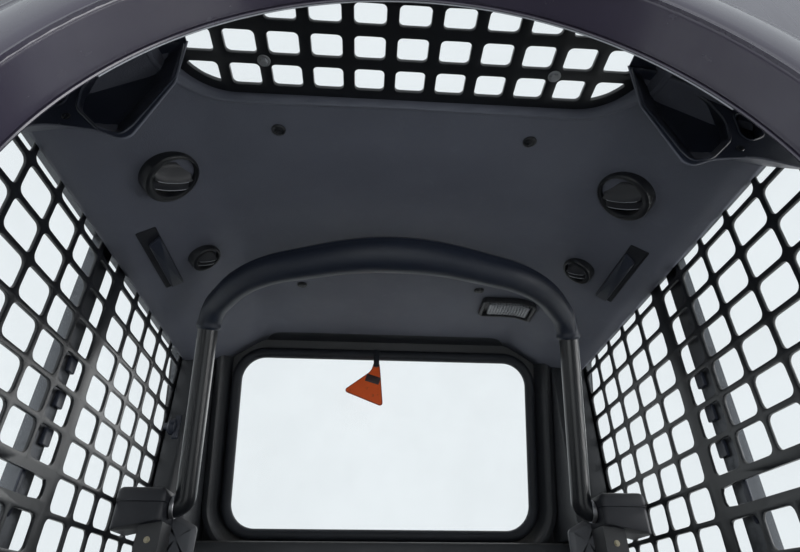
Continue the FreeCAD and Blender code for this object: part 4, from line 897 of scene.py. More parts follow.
POD_FRONT = -0.322
POD_REAR = -0.262
POD_SPLIT = 0.3505
POD_NEAR = [(0.2560, 1.4144), (0.2535, 1.3420), (0.2800, 1.2500), (0.3140, 1.2640), (0.3630, 1.2700),
            (0.4280, 1.2530), (0.4280, 1.3225), (0.4000, 1.3300), (0.2900, 1.4144)]
POD_FAR = [(0.3160, 1.3740), (0.3170, 1.3700), (0.3330, 1.3620), (0.3500, 1.3510), (0.3900, 1.3270),
           (0.4280, 1.3190), (0.4280, 1.3225), (0.4000, 1.3245), (0.3250, 1.3700)]
POD_RADII = [0.0, 0.030, 0.012, 0.040, 0.060, 0.0, 0.0, 0.0, 0.0]
POCKET = [(0.2610, 1.4090), (0.2575, 1.3500), (0.2820, 1.2740), (0.2890, 1.2620), (0.3100, 1.2660),
          (0.3400, 1.2950), (0.3450, 1.3250), (0.3350, 1.3560), (0.2900, 1.4040)]
POCKET_RADII = [0.004, 0.030, 0.008, 0.006, 0.022, 0.024, 0.040, 0.030, 0.010]
SMALL_POCKET = [(0.3600, 1.3400), (0.3560, 1.2920), (0.3800, 1.3040), (0.3850, 1.3270)]
SMALL_POCKET_RADII = [0.006, 0.008, 0.010, 0.008]
SCREW_PLACE = (0.3470, 1.2815)


def upright(outline, y):
    """An outline of X and Z set upright at each of its depths."""
    return np.stack([outline[..., 0], np.broadcast_to(y, outline.shape[:-1]), outline[..., 1]], -1)


def finer(outline, steps=4):
    """Straight steps put between an outline's points, the same number between each two."""
    share = np.linspace(0, 1, steps, endpoint=False)[None, :, None]
    return (outline[:, None] * (1 - share) + np.roll(outline, -1, 0)[:, None] * share).reshape(-1, 2)


def pod_shell():
    """Outer wall: the front outline changes evenly into the rear one, with a rounded front edge."""
    near = finer(filleted(POD_NEAR, POD_RADII))
    far = finer(filleted(POD_FAR, POD_RADII))
    rows = [upright(moved(near, -0.0060), POD_FRONT + 0.0006), upright(moved(near, -0.0016), POD_FRONT + 0.00005),
            upright(moved(near, -0.0005), POD_FRONT + 0.0005), upright(near, POD_FRONT + 0.0016)]
    for share in np.linspace(0.06, 1.0, 12):
        depth = POD_FRONT + share * (POD_REAR - POD_FRONT)
        rows.append(upright(near + share * (far - near), depth))
    return capped(np.stack(rows))[1:], False, True


def cut_at(outline, split, side):
    """The part of an outline on one side of an upright line, with its two crossings added."""
    kept = side * (outline[:, 0] - split) > 0
    start = np.flatnonzero(kept & ~np.roll(kept, 1))[0]
    turned_outline = np.roll(outline, -start, axis=0)
    part = turned_outline[:kept.sum()]
    ends = []
    for inner, outer in ((part[0], turned_outline[-1]), (part[-1], turned_outline[kept.sum()])):
        ends.append(inner + (outer - inner) * (split - inner[0]) / (outer[0] - inner[0]))
    return np.concatenate([ends[:1], part, ends[1:]])


def pod_face(opening, radii, side, centre, depth, shrink, drift):
    """One side of the front plate round its pocket: rays from the pocket's middle, whose reach runs
    from the plate's edge to the opening, then down the pocket's drafted wall to its floor."""
    turns = np.linspace(0, 2 * math.pi, 160, endpoint=False)
    plate = moved(finer(filleted(POD_NEAR, POD_RADII), 6), -0.0014)
    plate = cut_at(plate, POD_SPLIT, side)
    inside = finer(filleted(opening, radii), 3)
    centre = np.array(centre)
    rows = [(polar(plate, centre, turns), 0.0), (polar(moved(inside, 0.0030), centre, turns), 0.0),
            (polar(moved(inside, 0.0022), centre, turns), -0.0008),
            (polar(moved(inside, 0.0010), centre, turns), -0.0008),
            (polar(inside, centre, turns), 0.0010)]
    for share in (0.15, 0.5, 0.9, 1.0):
        wall = polar(inside, centre, turns)
        rows.append((centre + np.array(drift) * share + (wall - centre) * (1 - shrink * share), depth * share))
    middle = centre + np.array(drift)
    rows.append((middle + (rows[-1][0] - middle) * 0.82, depth * 1.02))
    rows.append((middle + (rows[-1][0] - middle) * 0.001, depth * 1.02))
    return np.stack([upright(outline, POD_FRONT + y) for outline, y in rows]), False, True


def hex_outline(radius):
    """Six corners about the middle, slightly rounded."""
    turn = np.arange(6) * math.pi / 3
    corners = radius * np.stack([np.cos(turn), np.sin(turn)], -1)
    return filleted(corners, radius * 0.12, 3)


def bolt(place, across, upward, size):
    """Hexagon head on a round flange, both with broken edges: two stacked closed forms."""
    plane = (place, across, upward)
    disc = circle_profile(size * 1.5, 32)
    flange = solid(disc, [(0.0, -0.0004), (0.0, size * 0.12), (-size * 0.08, size * 0.20)], plane)
    head = solid(hex_outline(size), [(0.0, size * 0.15), (0.0, size * 0.68), (-size * 0.10, size * 0.80)], plane)
    return [flange, head]


pod_screw = solid(circle_profile(0.0042, 28), [(0.0, 0.0015), (0.0, -0.0006), (-0.0006, -0.0012),
                                                (-0.0022, -0.0010), (-0.0026, 0.0006)],
                  ((SCREW_PLACE[0], POD_FRONT, SCREW_PLACE[1]), ACROSS, -UP))
FLANGE = [(0.3000, -0.3205), (0.2575, -0.3205), (0.2575, -0.3960), (0.3000, -0.3960)]
FLANGE_PLANE = ((0.0, 0.0, 1.4126), ACROSS, ALONG)
flange = solid(finer(np.array(FLANGE)), [(0.0, 0.0), (0.0, 0.0015)], FLANGE_PLANE)
pod_parts = [pod_shell(),
             pod_face(POCKET, POCKET_RADII, -1, (0.3080, 1.3300), 0.026, 0.25, (0.022, 0.015)),
             pod_face(SMALL_POCKET, SMALL_POCKET_RADII, 1, (0.3710, 1.3180), 0.016, 0.15, (0.006, 0.006)),
             flange]
for side, sign in SIDES:
    turned = (lambda parts: parts) if sign > 0 else mirrored
    add_piece("pod_" + side, turned(pod_parts[1:]), pod_black, replaces=("corner_pod_" + side,))
    add_piece("pod_ramp_" + side, turned(pod_parts[:1]), liner)
    add_piece("pod_screw_" + side, turned([pod_screw]), screen_paint)


# Door opening: a rolled moulding with a bead round its rim

KNEE = (-0.490, 0.860)
LOWER_LEAN = math.atan2(0.160, 0.860)
UPPER_LEAN = math.atan2(0.045, 0.580)
DOOR_HALF = 0.300
ARCH_SPRING = 0.21774
SILL = -0.7527
SILL_CORNER = 0.060
SKIRT_LOW = 1.3938
MOULDING = [(0.0085, -0.0384), (0.0020, -0.0390), (-0.0008, -0.0375), (-0.0012, -0.0340), (-0.0006, -0.0300),
            (-0.0006, 0.0005), (-0.0002, 0.0035), (0.0012, 0.0062), (0.0040, 0.0084), (0.0090, 0.0096),
            (0.0170, 0.0103), (0.0260, 0.0103), (0.0340, 0.0096), (0.0410, 0.0083), (0.0455, 0.0064),
            (0.0482, 0.0040), (0.0492, 0.0018), (0.0500, 0.0012), (0.0508, 0.0022), (0.0525, 0.0034),
            (0.0545, 0.0038), (0.0565, 0.0033), (0.0580, 0.0018), (0.0584, -0.0010), (0.0100, -0.0050)]


def door_outline():
    """The opening's edge, anticlockwise: a half circle over straight sides, and two lower corners."""
    arch = np.linspace(0, math.pi, 90)
    over = np.stack([DOOR_HALF * np.cos(arch), ARCH_SPRING + DOOR_HALF * np.sin(arch)], -1)
    corner = np.linspace(math.pi, 1.5 * math.pi, 20)
    left = SILL_CORNER * np.stack([np.cos(corner), np.sin(corner)], -1)
    left = left + [SILL_CORNER - DOOR_HALF, SILL + SILL_CORNER]
    right = left[::-1] * [-1, 1]
    return evenly(np.concatenate([over, left, right]), 420, True)


def on_front(outline, level):
    """The front plane bent at the knee: up along the post's line, and out square to it."""
    up = outline[..., 1]
    lean = UPPER_LEAN + (LOWER_LEAN - UPPER_LEAN) / (1 + np.exp(up / 0.006))
    y = KNEE[0] + up * np.where(up > 0, math.sin(UPPER_LEAN), math.sin(LOWER_LEAN)) - level * np.cos(lean)
    z = KNEE[1] + up * np.where(up > 0, math.cos(UPPER_LEAN), math.cos(LOWER_LEAN)) + level * np.sin(lean)
    return np.stack([outline[..., 0], y, z], -1)


def door_moulding(profile):
    """The profile carried round the opening, drawn in where the roof's skirt covers the arch."""
    outline = door_outline()
    rise = unit(moved(outline, 1.0) - outline)[:, 1]
    height = on_front(outline, 0.0)[:, 2]
    room = (SKIRT_LOW - 0.0012 - height) / np.maximum(rise * math.cos(UPPER_LEAN), 1e-3)
    reach = max(out for out, level in profile)
    squeeze = np.where(rise > 0, np.clip(room / reach, 0.05, 1.0), 1.0)
    rows = [on_front(outline + squeeze[:, None] * (moved(outline, out) - outline), level)
            for out, level in profile]
    return np.stack(rows), True, True


add_piece("door_moulding", [door_moulding(MOULDING)], door_gloss)
SEAL = [(0.0060, -0.0386), (0.0016, -0.0390), (-0.0004, -0.0398), (-0.0010, -0.0410), (-0.0002, -0.0424),
        (0.0024, -0.0430), (0.0054, -0.0425), (0.0075, -0.0410), (0.0085, -0.0396)]
add_piece("door_seal", [door_moulding(SEAL)], door_gloss)
# A thin light grey rod along the arch's rear edge: a painted highlight of the edge catching the light.
edge_turns = np.linspace(0.52, math.pi - 0.52, 80)
edge_highlight_line = np.stack([np.cos(edge_turns), np.sin(edge_turns)], -1) * (DOOR_HALF - 0.0004) + [0, ARCH_SPRING]
add_piece("door_edge_highlight", [rod(on_front(edge_highlight_line, -0.0428 * np.ones(80)), circle_profile(0.0007, 8), ALONG)],
          painted_highlight_grey)


# Restraint bar: tube arms, collars and the padded sleeve

PIVOT = (0.331, 0.258, 1.015)
BAR_BENDS = [(0.318, 0.138, 1.315, 0.055), (0.235, 0.031, 1.330, 0.190)]
BAR_MIDDLE = (0.0, -0.031, 1.344, 0.410)
TUBE = 0.0168


def bar_path():
    """Centre line from the right pin over the middle to the left one, with arcs at its corners."""
    right = [(0.351, *PIVOT[1:], 0.0), (*PIVOT, 0.020)] + BAR_BENDS
    corners = right + [BAR_MIDDLE] + [(-x, y, z, bend) for x, y, z, bend in right[::-1]]
    return filleted([corner[:3] for corner in corners], [corner[3] for corner in corners], 24, closed=False)


def between_lengths(path, start, end, count):
    """Evenly spaced points of a path between two lengths along it."""
    length = np.concatenate([[0], np.cumsum(np.linalg.norm(np.diff(path, axis=0), axis=1))])
    end = length[-1] + end if end <= 0 else end
    at = np.linspace(start, end, count)
    return np.stack([np.interp(at, length, axis) for axis in path.T], -1)


centre_line = bar_path()
line_length = np.concatenate([[0], np.cumsum(np.linalg.norm(np.diff(centre_line, axis=0), axis=1))])
sleeve_foot = float(np.interp(-0.138 - 0.012, -centre_line[:len(centre_line) // 2, 1],
                              line_length[:len(centre_line) // 2]))


def tube(path, radii, steps=28):
    """Circles of the given radii square to a path."""
    profile = circle_profile(1.0, steps) * np.broadcast_to(radii, (len(path),))[:, None, None]
    grid = sweep(path, profile, SIDEWAYS)
    return capped(grid), False, True


SIDEWAYS = np.array([0.2, 1.0, 0.1])
arm_path = between_lengths(centre_line, 0.0, sleeve_foot + 0.02, 90)
arm_tube = tube(arm_path, TUBE)
add_piece("bar_tubes", [arm_tube] + mirrored([arm_tube]), bar_paint, "restraint_bar", replaces=("bar_arms",))


def sleeve_form():
    """Radius grows from the ends to the middle as a power of the share of the way, with a rolled lip
    at each end and a low moulded ridge along the rear lower side."""
    path = between_lengths(centre_line, sleeve_foot, -sleeve_foot, 260)
    middle = np.sqrt(path[:, 0] ** 2 + 0.020 ** 2)
    share = np.clip(1 - middle / 0.331, 0.0, 1.0) ** 0.6
    radius = (0.0355 + 0.0225 * share) / 2
    from_end = np.minimum(np.arange(260), np.arange(260)[::-1])
    lip = 0.0016 * np.exp(-((from_end - 2.2) / 1.6) ** 2)
    close = np.where(from_end == 0, 0.0024, 0.0)
    turn = np.linspace(0, 2 * math.pi, 64, endpoint=False)
    ridge = 0.0011 * np.exp(-((turn - RIDGE_TURN) / 0.07) ** 2) * np.clip(from_end / 8, 0, 1)[:, None]
    reach = (radius + lip - close)[:, None] + ridge
    return capped(sweep(path, reach[..., None] * np.stack([np.cos(turn), np.sin(turn)], -1), SIDEWAYS)), False, True


RIDGE_TURN = 4.1
add_piece("grip_sleeve", [sleeve_form()], sleeve, "restraint_bar", replaces=("bar_sleeve",))


# Pivot housings: a body with a drooping outer corner under a rounded cap

HOUSING_IN = 0.352
HOUSING_OUT = 0.430
HOUSING_Y = (0.218, 0.298)
HOUSING_PART = 1.0165
HOUSING_TOP = 1.0400
HOUSING_LOW = 0.990


def housing_parts():
    half = ((HOUSING_OUT - HOUSING_IN) / 2, (HOUSING_Y[1] - HOUSING_Y[0]) / 2)
    middle = ((HOUSING_IN + HOUSING_OUT) / 2, sum(HOUSING_Y) / 2, 0.0)
    plane = (middle, ACROSS, ALONG)
    outline = rounded_rectangle(half[0] - 0.0004, half[1] - 0.0004, 0.009, 8)
    cap = solid(outline, [(-0.0012, HOUSING_PART + 0.0006), (0.0, HOUSING_PART + 0.0016),
                          (0.0, 1.0290), (-0.0008, 1.0335), (-0.0030, 1.0372), (-0.0064, 1.0392),
                          (-0.0110, 1.0398), (-0.0180, HOUSING_TOP)], plane)
    body = stacked(outline, [(-0.0016, HOUSING_PART + 0.0004), (-0.0012, HOUSING_PART - 0.0010),
                             (-0.0012, 1.0000), (-0.0012, HOUSING_LOW + 0.0025),
                             (-0.0020, HOUSING_LOW + 0.0008), (-0.0040, HOUSING_LOW)], plane)
    droop = 0.016 * np.clip((body[..., 0] - 0.389) / 0.041, 0, 1)
    body[3:, :, 2] -= droop[3:]
    boss_plane = ((HOUSING_IN, PIVOT[1], PIVOT[2]), -ALONG, UP)
    boss = solid(circle_profile(0.0205, 40), [(0.0, -0.003), (0.0, 0.0004), (-0.0012, 0.0009), (-0.0050, 0.0009)],
                 boss_plane)
    return [cap, (capped(body), False, True)], [boss]


cover_parts, boss_parts = housing_parts()
for side, sign in SIDES:
    turned = (lambda parts: parts) if sign > 0 else mirrored
    add_piece("housing_" + side, turned(cover_parts), housing_black, replaces=("pivot_housing_" + side,))


# Rear window: rubber, surround, ledge and pillar trims

def window_outline(margin, count=400):
    """The rear window's rounded outline with a margin, evenly divided."""
    wide, high = WINDOW_HALF
    return evenly(rounded_rectangle(wide + margin, high + margin, WINDOW_CORNER + margin, 20), count, True)


GASKET = [(-0.0004, 0.0004), (-0.0014, 0.0040), (-0.0006, 0.0092), (0.0030, 0.0134), (0.0080, 0.0156),
          (0.0130, 0.0156), (0.0172, 0.0134), (0.0204, 0.0092), (0.0218, 0.0040), (0.0222, 0.0004)]
add_piece("window_rubber_ring", [band(window_outline(0.0), GASKET, REAR_WALL)], window_rubber,
          replaces=("rear_gasket",))

SURROUND_HALF = (0.363, 0.223)
SURROUND_TOP = 0.2400
SURROUND = [(-0.0225, 0.0004), (-0.0215, 0.0030), (-0.0090, 0.0290), (-0.0082, 0.0304), (-0.0062, 0.0325), (-0.0042, 0.0340), (0.0038, 0.0340),
            (0.0060, 0.0326), (0.0070, 0.0300), (0.0070, 0.0006)]


def surround_outline():
    """Round lower corners, small upper ones, anticlockwise about the window."""
    wide, low = SURROUND_HALF
    corners = [(wide, SURROUND_TOP), (-wide, SURROUND_TOP), (-wide, -low), (wide, -low)]
    return evenly(filleted(corners, [0.034, 0.034, 0.097, 0.097], 20), 480, True)


SHELF_HALF = 0.4305
SHELF_TOP = 0.9925
SHELF_HIGH = 0.0240
SHELF_FRONT = 0.4905
shelf_back = wall_y(SHELF_TOP) - 0.0015
shelf_plane = ((0.0, (SHELF_FRONT + shelf_back) / 2, SHELF_TOP - SHELF_HIGH), ACROSS, ALONG)
shelf_outline = finer(rounded_rectangle(SHELF_HALF, (shelf_back - SHELF_FRONT) / 2, 0.004, 4), 8)
shelf = solid(shelf_outline, [(-0.0030, 0.0), (-0.0006, 0.0006), (0.0, 0.0030), (0.0, SHELF_HIGH - 0.0060),
                              (-0.0012, SHELF_HIGH - 0.0024), (-0.0036, SHELF_HIGH - 0.0006),
                              (-0.0080, SHELF_HIGH)], shelf_plane)
add_piece("rear_surround", [band(surround_outline(), SURROUND, REAR_WALL), shelf], trim,
          replaces=("rear_ledge",))

TRIM_IN = 0.3705
TRIM_OUT = 0.4310
TRIM_FRONT = 0.3668
TRIM_LOW = 0.9945
TRIM_BEVEL = 0.028


def pillar_trim():
    """Outlines of X and Y at rising heights: the front stays upright while the rear follows the wall,
    and the top row follows the headliner."""
    rows = []
    for share in np.concatenate([[0.0], np.linspace(0.004, 0.996, 40), [1.0]]):
        height = TRIM_LOW + share * (1.3960 - TRIM_LOW)
        back = wall_y(height) - 0.0010
        corners = [(TRIM_OUT, TRIM_FRONT), (TRIM_OUT, back), (TRIM_IN, back),
                   (TRIM_IN, TRIM_FRONT + TRIM_BEVEL), (TRIM_IN + TRIM_BEVEL, TRIM_FRONT)]
        outline = finer(filleted(corners, [0.003, 0.0, 0.0, 0.009, 0.009], 6), 3)
        if share in (0.0, 1.0):
            outline = moved(outline, -0.0015)
        top = liner_height(outline[:, 0]) - 0.0008
        rows.append(np.stack([outline[:, 0], outline[:, 1], np.minimum(height, top)], -1))
    return capped(np.stack(rows)), False, True


for side, sign in SIDES:
    turned = (lambda parts: parts) if sign > 0 else mirrored
    add_piece("trim_" + side, turned([pillar_trim()]), trim, replaces=("pillar_trim_" + side,))
# Exit tag on its strap, with a bare panel where a sign would be

TAG_Y = 0.4036
TAG_CORNERS = [(-0.0145, 1.3370), (-0.0285, 1.3370), (-0.0320, 1.3210), (-0.0925, 1.2740),
               (-0.0055, 1.2395), (-0.0125, 1.3210)]
TAG_RADII = [0.002, 0.002, 0.030, 0.006, 0.006, 0.040]
TAG_FACE = ((0.0, TAG_Y, 0.0), ACROSS, UP)
tag_outline = finer(filleted(TAG_CORNERS, TAG_RADII), 3)
tag_plate = solid(tag_outline, [(-0.0006, 0.0), (0.0, 0.0004), (0.0, 0.0015), (-0.0006, 0.0020)], TAG_FACE)
add_piece("tag_plate", [tag_plate], tag_orange, replaces=("exit_tag",))
tag_bead = band(moved(tag_outline, -0.0010), [(-0.0005, 0.0019), (-0.0002, 0.0024), (0.0004, 0.0024),
                                             (0.0008, 0.0018), (0.0002, 0.0012)], TAG_FACE)
PANEL_TURN = math.radians(-17.0)
panel_outline = rounded_rectangle(0.0155, 0.0085, 0.0012)
panel_outline = panel_outline @ np.array([[math.cos(PANEL_TURN), math.sin(PANEL_TURN)],
                                          [-math.sin(PANEL_TURN), math.cos(PANEL_TURN)]]) + [-0.0285, 1.3010]
panel = solid(panel_outline, [(0.0, 0.0018), (0.0, 0.0022), (-0.0003, 0.0024)], TAG_FACE)
eyelet = band(circle_profile(0.0030, 28) + [-0.0215, 1.3320],
              [(-0.0010, 0.0019), (-0.0006, 0.0027), (0.0006, 0.0027), (0.0010, 0.0019), (0.0, 0.0012)], TAG_FACE)
add_piece("tag_panel", [panel, tag_bead], tag_dark)
add_piece("tag_eyelet", [eyelet], zinc)
strap_path = np.array([(-0.0215, TAG_Y - 0.0026, 1.3300), (-0.0215, TAG_Y - 0.0050, 1.3400),
                       (-0.0213, TAG_Y - 0.0040, 1.3520), (-0.0212, TAG_Y - 0.0005, 1.3640),
                       (-0.0212, TAG_Y + 0.0006, 1.3715)])
strap_path = between_lengths(filleted(strap_path, 0.012, 6, closed=False), 0.0, 0.0, 30)
strap_profile = rounded_rectangle(0.0062, 0.0009, 0.0008, 3)
add_piece("tag_strap", [rod(strap_path, strap_profile, ALONG)], window_rubber)


# Small fittings under the roof: lamp, clips, side pockets, grille bolts

LAMP_PLANE = ((0.2370, 0.2326, LINER_LOW), -ACROSS, ALONG)
LAMP_HALF = (0.0535, 0.0335)


def lamp_height(grid):
    """Rows hung from the headliner, which falls away at the lamp's outer end."""
    grid[..., 2] += liner_height(grid[..., 0], grid[..., 1]) - LINER_LOW
    return grid


bezel_rows = [(0.0, -0.0010), (0.0, 0.0060), (-0.0010, 0.0084), (-0.0030, 0.0096), (-0.0058, 0.0096),
              (-0.0072, 0.0084), (-0.0078, 0.0060), (-0.0082, 0.0008)]
bezel = lamp_height(stacked(finer(rounded_rectangle(*LAMP_HALF, 0.010), 4), bezel_rows, LAMP_PLANE))
add_piece("lamp_bezel", [(capped(bezel), False, True)], lamp_housing)
lens_outline = finer(rounded_rectangle(LAMP_HALF[0] - 0.0130, LAMP_HALF[1] - 0.0125, 0.004), 4) + [-0.0030, 0.0035]
lens_rows = [(0.0, 0.0006), (0.0, 0.0066), (-0.0006, 0.0076), (-0.0020, 0.0082), (-0.0060, 0.0086)]
lens = lamp_height(stacked(lens_outline, lens_rows, LAMP_PLANE))
add_piece("lamp_lens", [(capped(lens), False, True)], lamp_lens, replaces=("dome_lamp",))

CLIPS = [(0.167, -0.207), (0.170, 0.175)]
CLIP_PROFILE = [(0.0092, 0.0005), (0.0092, -0.0012), (0.0086, -0.0022), (0.0070, -0.0030), (0.0052, -0.0034),
                (0.0046, -0.0026), (0.0042, -0.0026), (0.0036, -0.0036), (0.0015, -0.0039), (0.0, -0.0039)]
clips = [(revolved(CLIP_PROFILE, (x, y, float(liner_height(x, y))), UP, 32), False, True) for x, y in CLIPS]
add_piece("liner_clips_dressed", clips + mirrored(clips), vent_black, replaces=("liner_clips",))

# The tray is a thin near-black plate on the cove: painted shade where the pocket's recess lies, with the flap over
# it.
pocket_plane = cove_plane(0.100, 0.014)
tray_outline = rounded_rectangle(0.0148, 0.0748, 0.0025)
tray = solid(tray_outline, [(0.0, -0.0010), (0.0, 0.0010), (-0.0006, 0.0014), (-0.0016, 0.0014),
                            (-0.0022, 0.0004)], pocket_plane)
FLAP = [(0.0140, -0.0540), (0.0140, 0.0735), (-0.0060, 0.0735), (-0.0060, -0.0420)]
flap_outline = finer(filleted(FLAP, 0.0015, 4), 4)
flap = stacked(flap_outline, [(0.0, 0.0002), (0.0, 0.0040), (-0.0004, 0.0050), (-0.0012, 0.0054)], pocket_plane)
for side, sign in SIDES:
    turned = (lambda parts: parts) if sign > 0 else mirrored
    covered = ("side_lamps",) if sign > 0 else ()
    add_piece("side_pocket_" + side, turned([tray]), pocket_painted_shade, replaces=covered)
    add_piece("side_flap_" + side, turned([(capped(flap), False, True)]), pod_black)

GRILLE_BOLTS = [(-0.1740, -0.3005), (0.1740, -0.3005), (-0.1740, -0.3470), (0.1740, -0.3470)]
bolt_heads = []
for x, y in GRILLE_BOLTS[:2]:
    bolt_heads += bolt((x, y, 1.4148), ACROSS, -ALONG, 0.0052)
add_piece("grille_bolts", bolt_heads, bolt_grey)


# Window rails, latches and the knob behind and on the screens

RAIL_ROWS = [0.0, 0.0052, 0.0104, 0.0156]
rails = []
for rise in RAIL_ROWS:
    rails.append(rod(np.linspace((0.4450, -0.372, 1.3590 + rise), (0.4450, 0.392, 1.3590 + rise), 20),
                     rounded_rectangle(0.0013, 0.0011, 0.0008, 3), UP))
latch_blocks = []
for height in (1.153, 1.104, 1.055):
    plane = ((0.4458, 0.0045, height), ALONG, UP)
    latch_blocks.append(solid(rounded_rectangle(0.0085, 0.0110, 0.002), [(0.0, 0.0), (0.0, -0.0042),
                                                                       (-0.0008, -0.0052)], plane))
pull = rod(between_lengths(filleted([(0.4455, -0.018, 0.960), (0.4430, -0.018, 0.966), (0.4430, -0.018, 1.018),
                                     (0.4455, -0.018, 1.024)], 0.003, 5, closed=False), 0.0, 0.0, 30),
           rounded_rectangle(0.0016, 0.0050, 0.001, 3), ALONG)
for side, sign in SIDES:
    turned = (lambda parts: parts) if sign > 0 else mirrored
    add_piece("window_rails_" + side, turned(rails), window_metal)
    add_piece("window_latch_" + side, turned(latch_blocks + [pull]), pod_black)
KNOB = (0.4330, 0.3690, 1.1790)
KNOB_PROFILE = [(0.0085, -0.001), (0.0085, 0.006), (0.0140, 0.0080), (0.0165, 0.0110), (0.0165, 0.0180),
                (0.0150, 0.0205), (0.0090, 0.0220), (0.0, 0.0222)]
knob = (revolved(KNOB_PROFILE, KNOB, -ACROSS, 36), False, True)
handle = solid(rounded_rectangle(0.0060, 0.0240, 0.0050), [(0.0, -0.0180), (0.0, -0.0270), (-0.0015, -0.0290)],
               (KNOB, ALONG, UP))
add_piece("window_knob", mirrored([knob, handle]), pod_black)


# Pivot bushings, posts' bolts and the bent panels behind the housings

bushing = (revolved([(0.0, 0.0), (0.0172, 0.0), (0.0180, 0.0008), (0.0180, 0.0062), (0.0172, 0.0070),
                     (0.0150, 0.0072), (0.0, 0.0072)], (0.3446, PIVOT[1], PIVOT[2]), ACROSS, 40), False, True)
add_piece("bar_bushings", [bushing] + mirrored([bushing]), bushing_steel, "restraint_bar")
post_bolts = bolt((0.3710, 0.2330, 0.9640), ACROSS, UP, 0.0032)
post_bolts += bolt((0.3710, 0.2330, 0.9250), ACROSS, UP, 0.0032)
add_piece("post_bolts", post_bolts + mirrored(post_bolts), zinc)
PANEL_CORNERS = [(0.3700, 0.9300), (0.3700, 1.0080), (0.3480, 1.0080), (0.3140, 0.9900), (0.3140, 0.9300)]
panel_plane = ((0.0, 0.2900, 0.0), ACROSS, UP)
post_panel = solid(finer(filleted(PANEL_CORNERS, [0.002, 0.002, 0.010, 0.010, 0.004]), 3),
                   [(0.0, -0.0060), (0.0, 0.0), (-0.0010, 0.0012), (-0.0070, 0.0052), (-0.0085, 0.0056)],
                   panel_plane)
add_piece("post_panels", [post_panel] + mirrored([post_panel]), trim_light)
# Seat: padded forms, swollen by a cloth simulation, then sewn

SEAT_FRAMES = 20
SEAT_VOXEL = 0.006
SEAT_PRESSURE = 4.0
SEAT_CAP = 0.024


def pad_surface(outline, rows):
    """A closed blank: the outline at each height, grown or shrunk, with both ends filled in by
    rings that shrink to the middle."""
    middle = outline.mean(0)
    loops = []
    low, high = rows[0], rows[-1]
    for share in np.linspace(0.03, 0.93, 9):
        loops.append((middle + (moved(outline, low[0]) - middle) * share, low[1]))
    loops += [(moved(outline, out), height) for out, height in rows]
    for share in np.linspace(0.93, 0.03, 9):
        loops.append((middle + (moved(outline, high[0]) - middle) * share, high[1]))
    return loops


def swollen(name, parts, finish, node, soften):
    """Voxel remesh of the blank, then cloth under pressure with no weight; how far each point may
    move is capped, and the soften function gives the share of that for every place."""
    blank = add_piece(name + "_blank", parts, finish)
    depsgraph = bpy.context.evaluated_depsgraph_get()
    remesh = blank.modifiers.new("remesh", "REMESH")
    remesh.mode = "VOXEL"
    remesh.voxel_size = SEAT_VOXEL
    bpy.context.view_layer.update()
    depsgraph = bpy.context.evaluated_depsgraph_get()
    mesh = bpy.data.meshes.new_from_object(blank.evaluated_get(depsgraph))
    bpy.data.objects.remove(blank)
    made = bpy.data.objects.new(name, mesh)
    bpy.context.scene.collection.objects.link(made)
    start = points_of(mesh)
    cloth = made.modifiers.new("cloth", "CLOTH")
    cloth.settings.use_pressure = True
    cloth.settings.uniform_pressure_force = SEAT_PRESSURE
    cloth.settings.tension_stiffness = 15
    cloth.settings.compression_stiffness = 15
    cloth.settings.bending_stiffness = 4
    cloth.settings.quality = 5
    cloth.settings.effector_weights.gravity = 0
    cloth.point_cache.frame_start = 1
    cloth.point_cache.frame_end = SEAT_FRAMES
    for step in range(1, SEAT_FRAMES + 1):
        bpy.context.scene.frame_set(step)
    depsgraph = bpy.context.evaluated_depsgraph_get()
    grown = bpy.data.meshes.new_from_object(made.evaluated_get(depsgraph))
    moved_by = points_of(grown) - start
    length = np.linalg.norm(moved_by, axis=1, keepdims=True)
    cap = SEAT_CAP * soften(start)[:, None]
    moved_by *= np.minimum(1.0, cap / np.maximum(length, 1e-9))
    made.modifiers.clear()
    bpy.context.scene.frame_set(1)
    put_points(mesh, start + moved_by)
    mesh.shade_smooth()
    mesh.materials.clear()
    mesh.materials.append(finish)
    return made


def points_of(mesh):
    flat_points = np.empty(len(mesh.vertices) * 3)
    mesh.vertices.foreach_get("co", flat_points)
    return flat_points.reshape(-1, 3)


def put_points(mesh, points):
    mesh.vertices.foreach_set("co", points.ravel())
    mesh.update()


def normals_of(mesh):
    flat_normals = np.empty(len(mesh.vertices) * 3)
    mesh.vertices.foreach_get("normal", flat_normals)
    return flat_normals.reshape(-1, 3)


def groove(distance, width):
    """A sewn channel: one at its line, falling off as a bell."""
    return np.exp(-(distance / width) ** 2)


def finish_pad(made, node, name):
    """One subdivision, with the node it stands for hidden."""
    finer_pad = made.modifiers.new("finer", "SUBSURF")
    finer_pad.levels = 1
    finer_pad.render_levels = 1
    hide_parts(node)
    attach(made, "cab")


CUSHION_FRONT, CUSHION_REAR = -0.025, 0.425
CUSHION_LOW, CUSHION_TOP = 0.3800, 0.4840
cushion_middle = ((0.0, (CUSHION_FRONT + CUSHION_REAR) / 2, 0.0), ACROSS, ALONG)
cushion_outline = evenly(rounded_rectangle(0.218, 0.208, 0.060, 10), 200, True)
cushion_rows = [(-0.012, 0.3830), (-0.002, 0.3880), (0.0, 0.4000), (0.002, 0.4250), (-0.002, 0.4450),
                (-0.010, 0.4560), (-0.024, 0.4620)]
cushion_loops = pad_surface(cushion_outline, cushion_rows)
cushion_grid = np.stack([flat(loop, height, *cushion_middle) for loop, height in cushion_loops])


def cushion_soften(points):
    """Full on top, little at the foot, where it rests on its base."""
    return np.clip((points[:, 2] - 0.386) / 0.05, 0.05, 1.0)


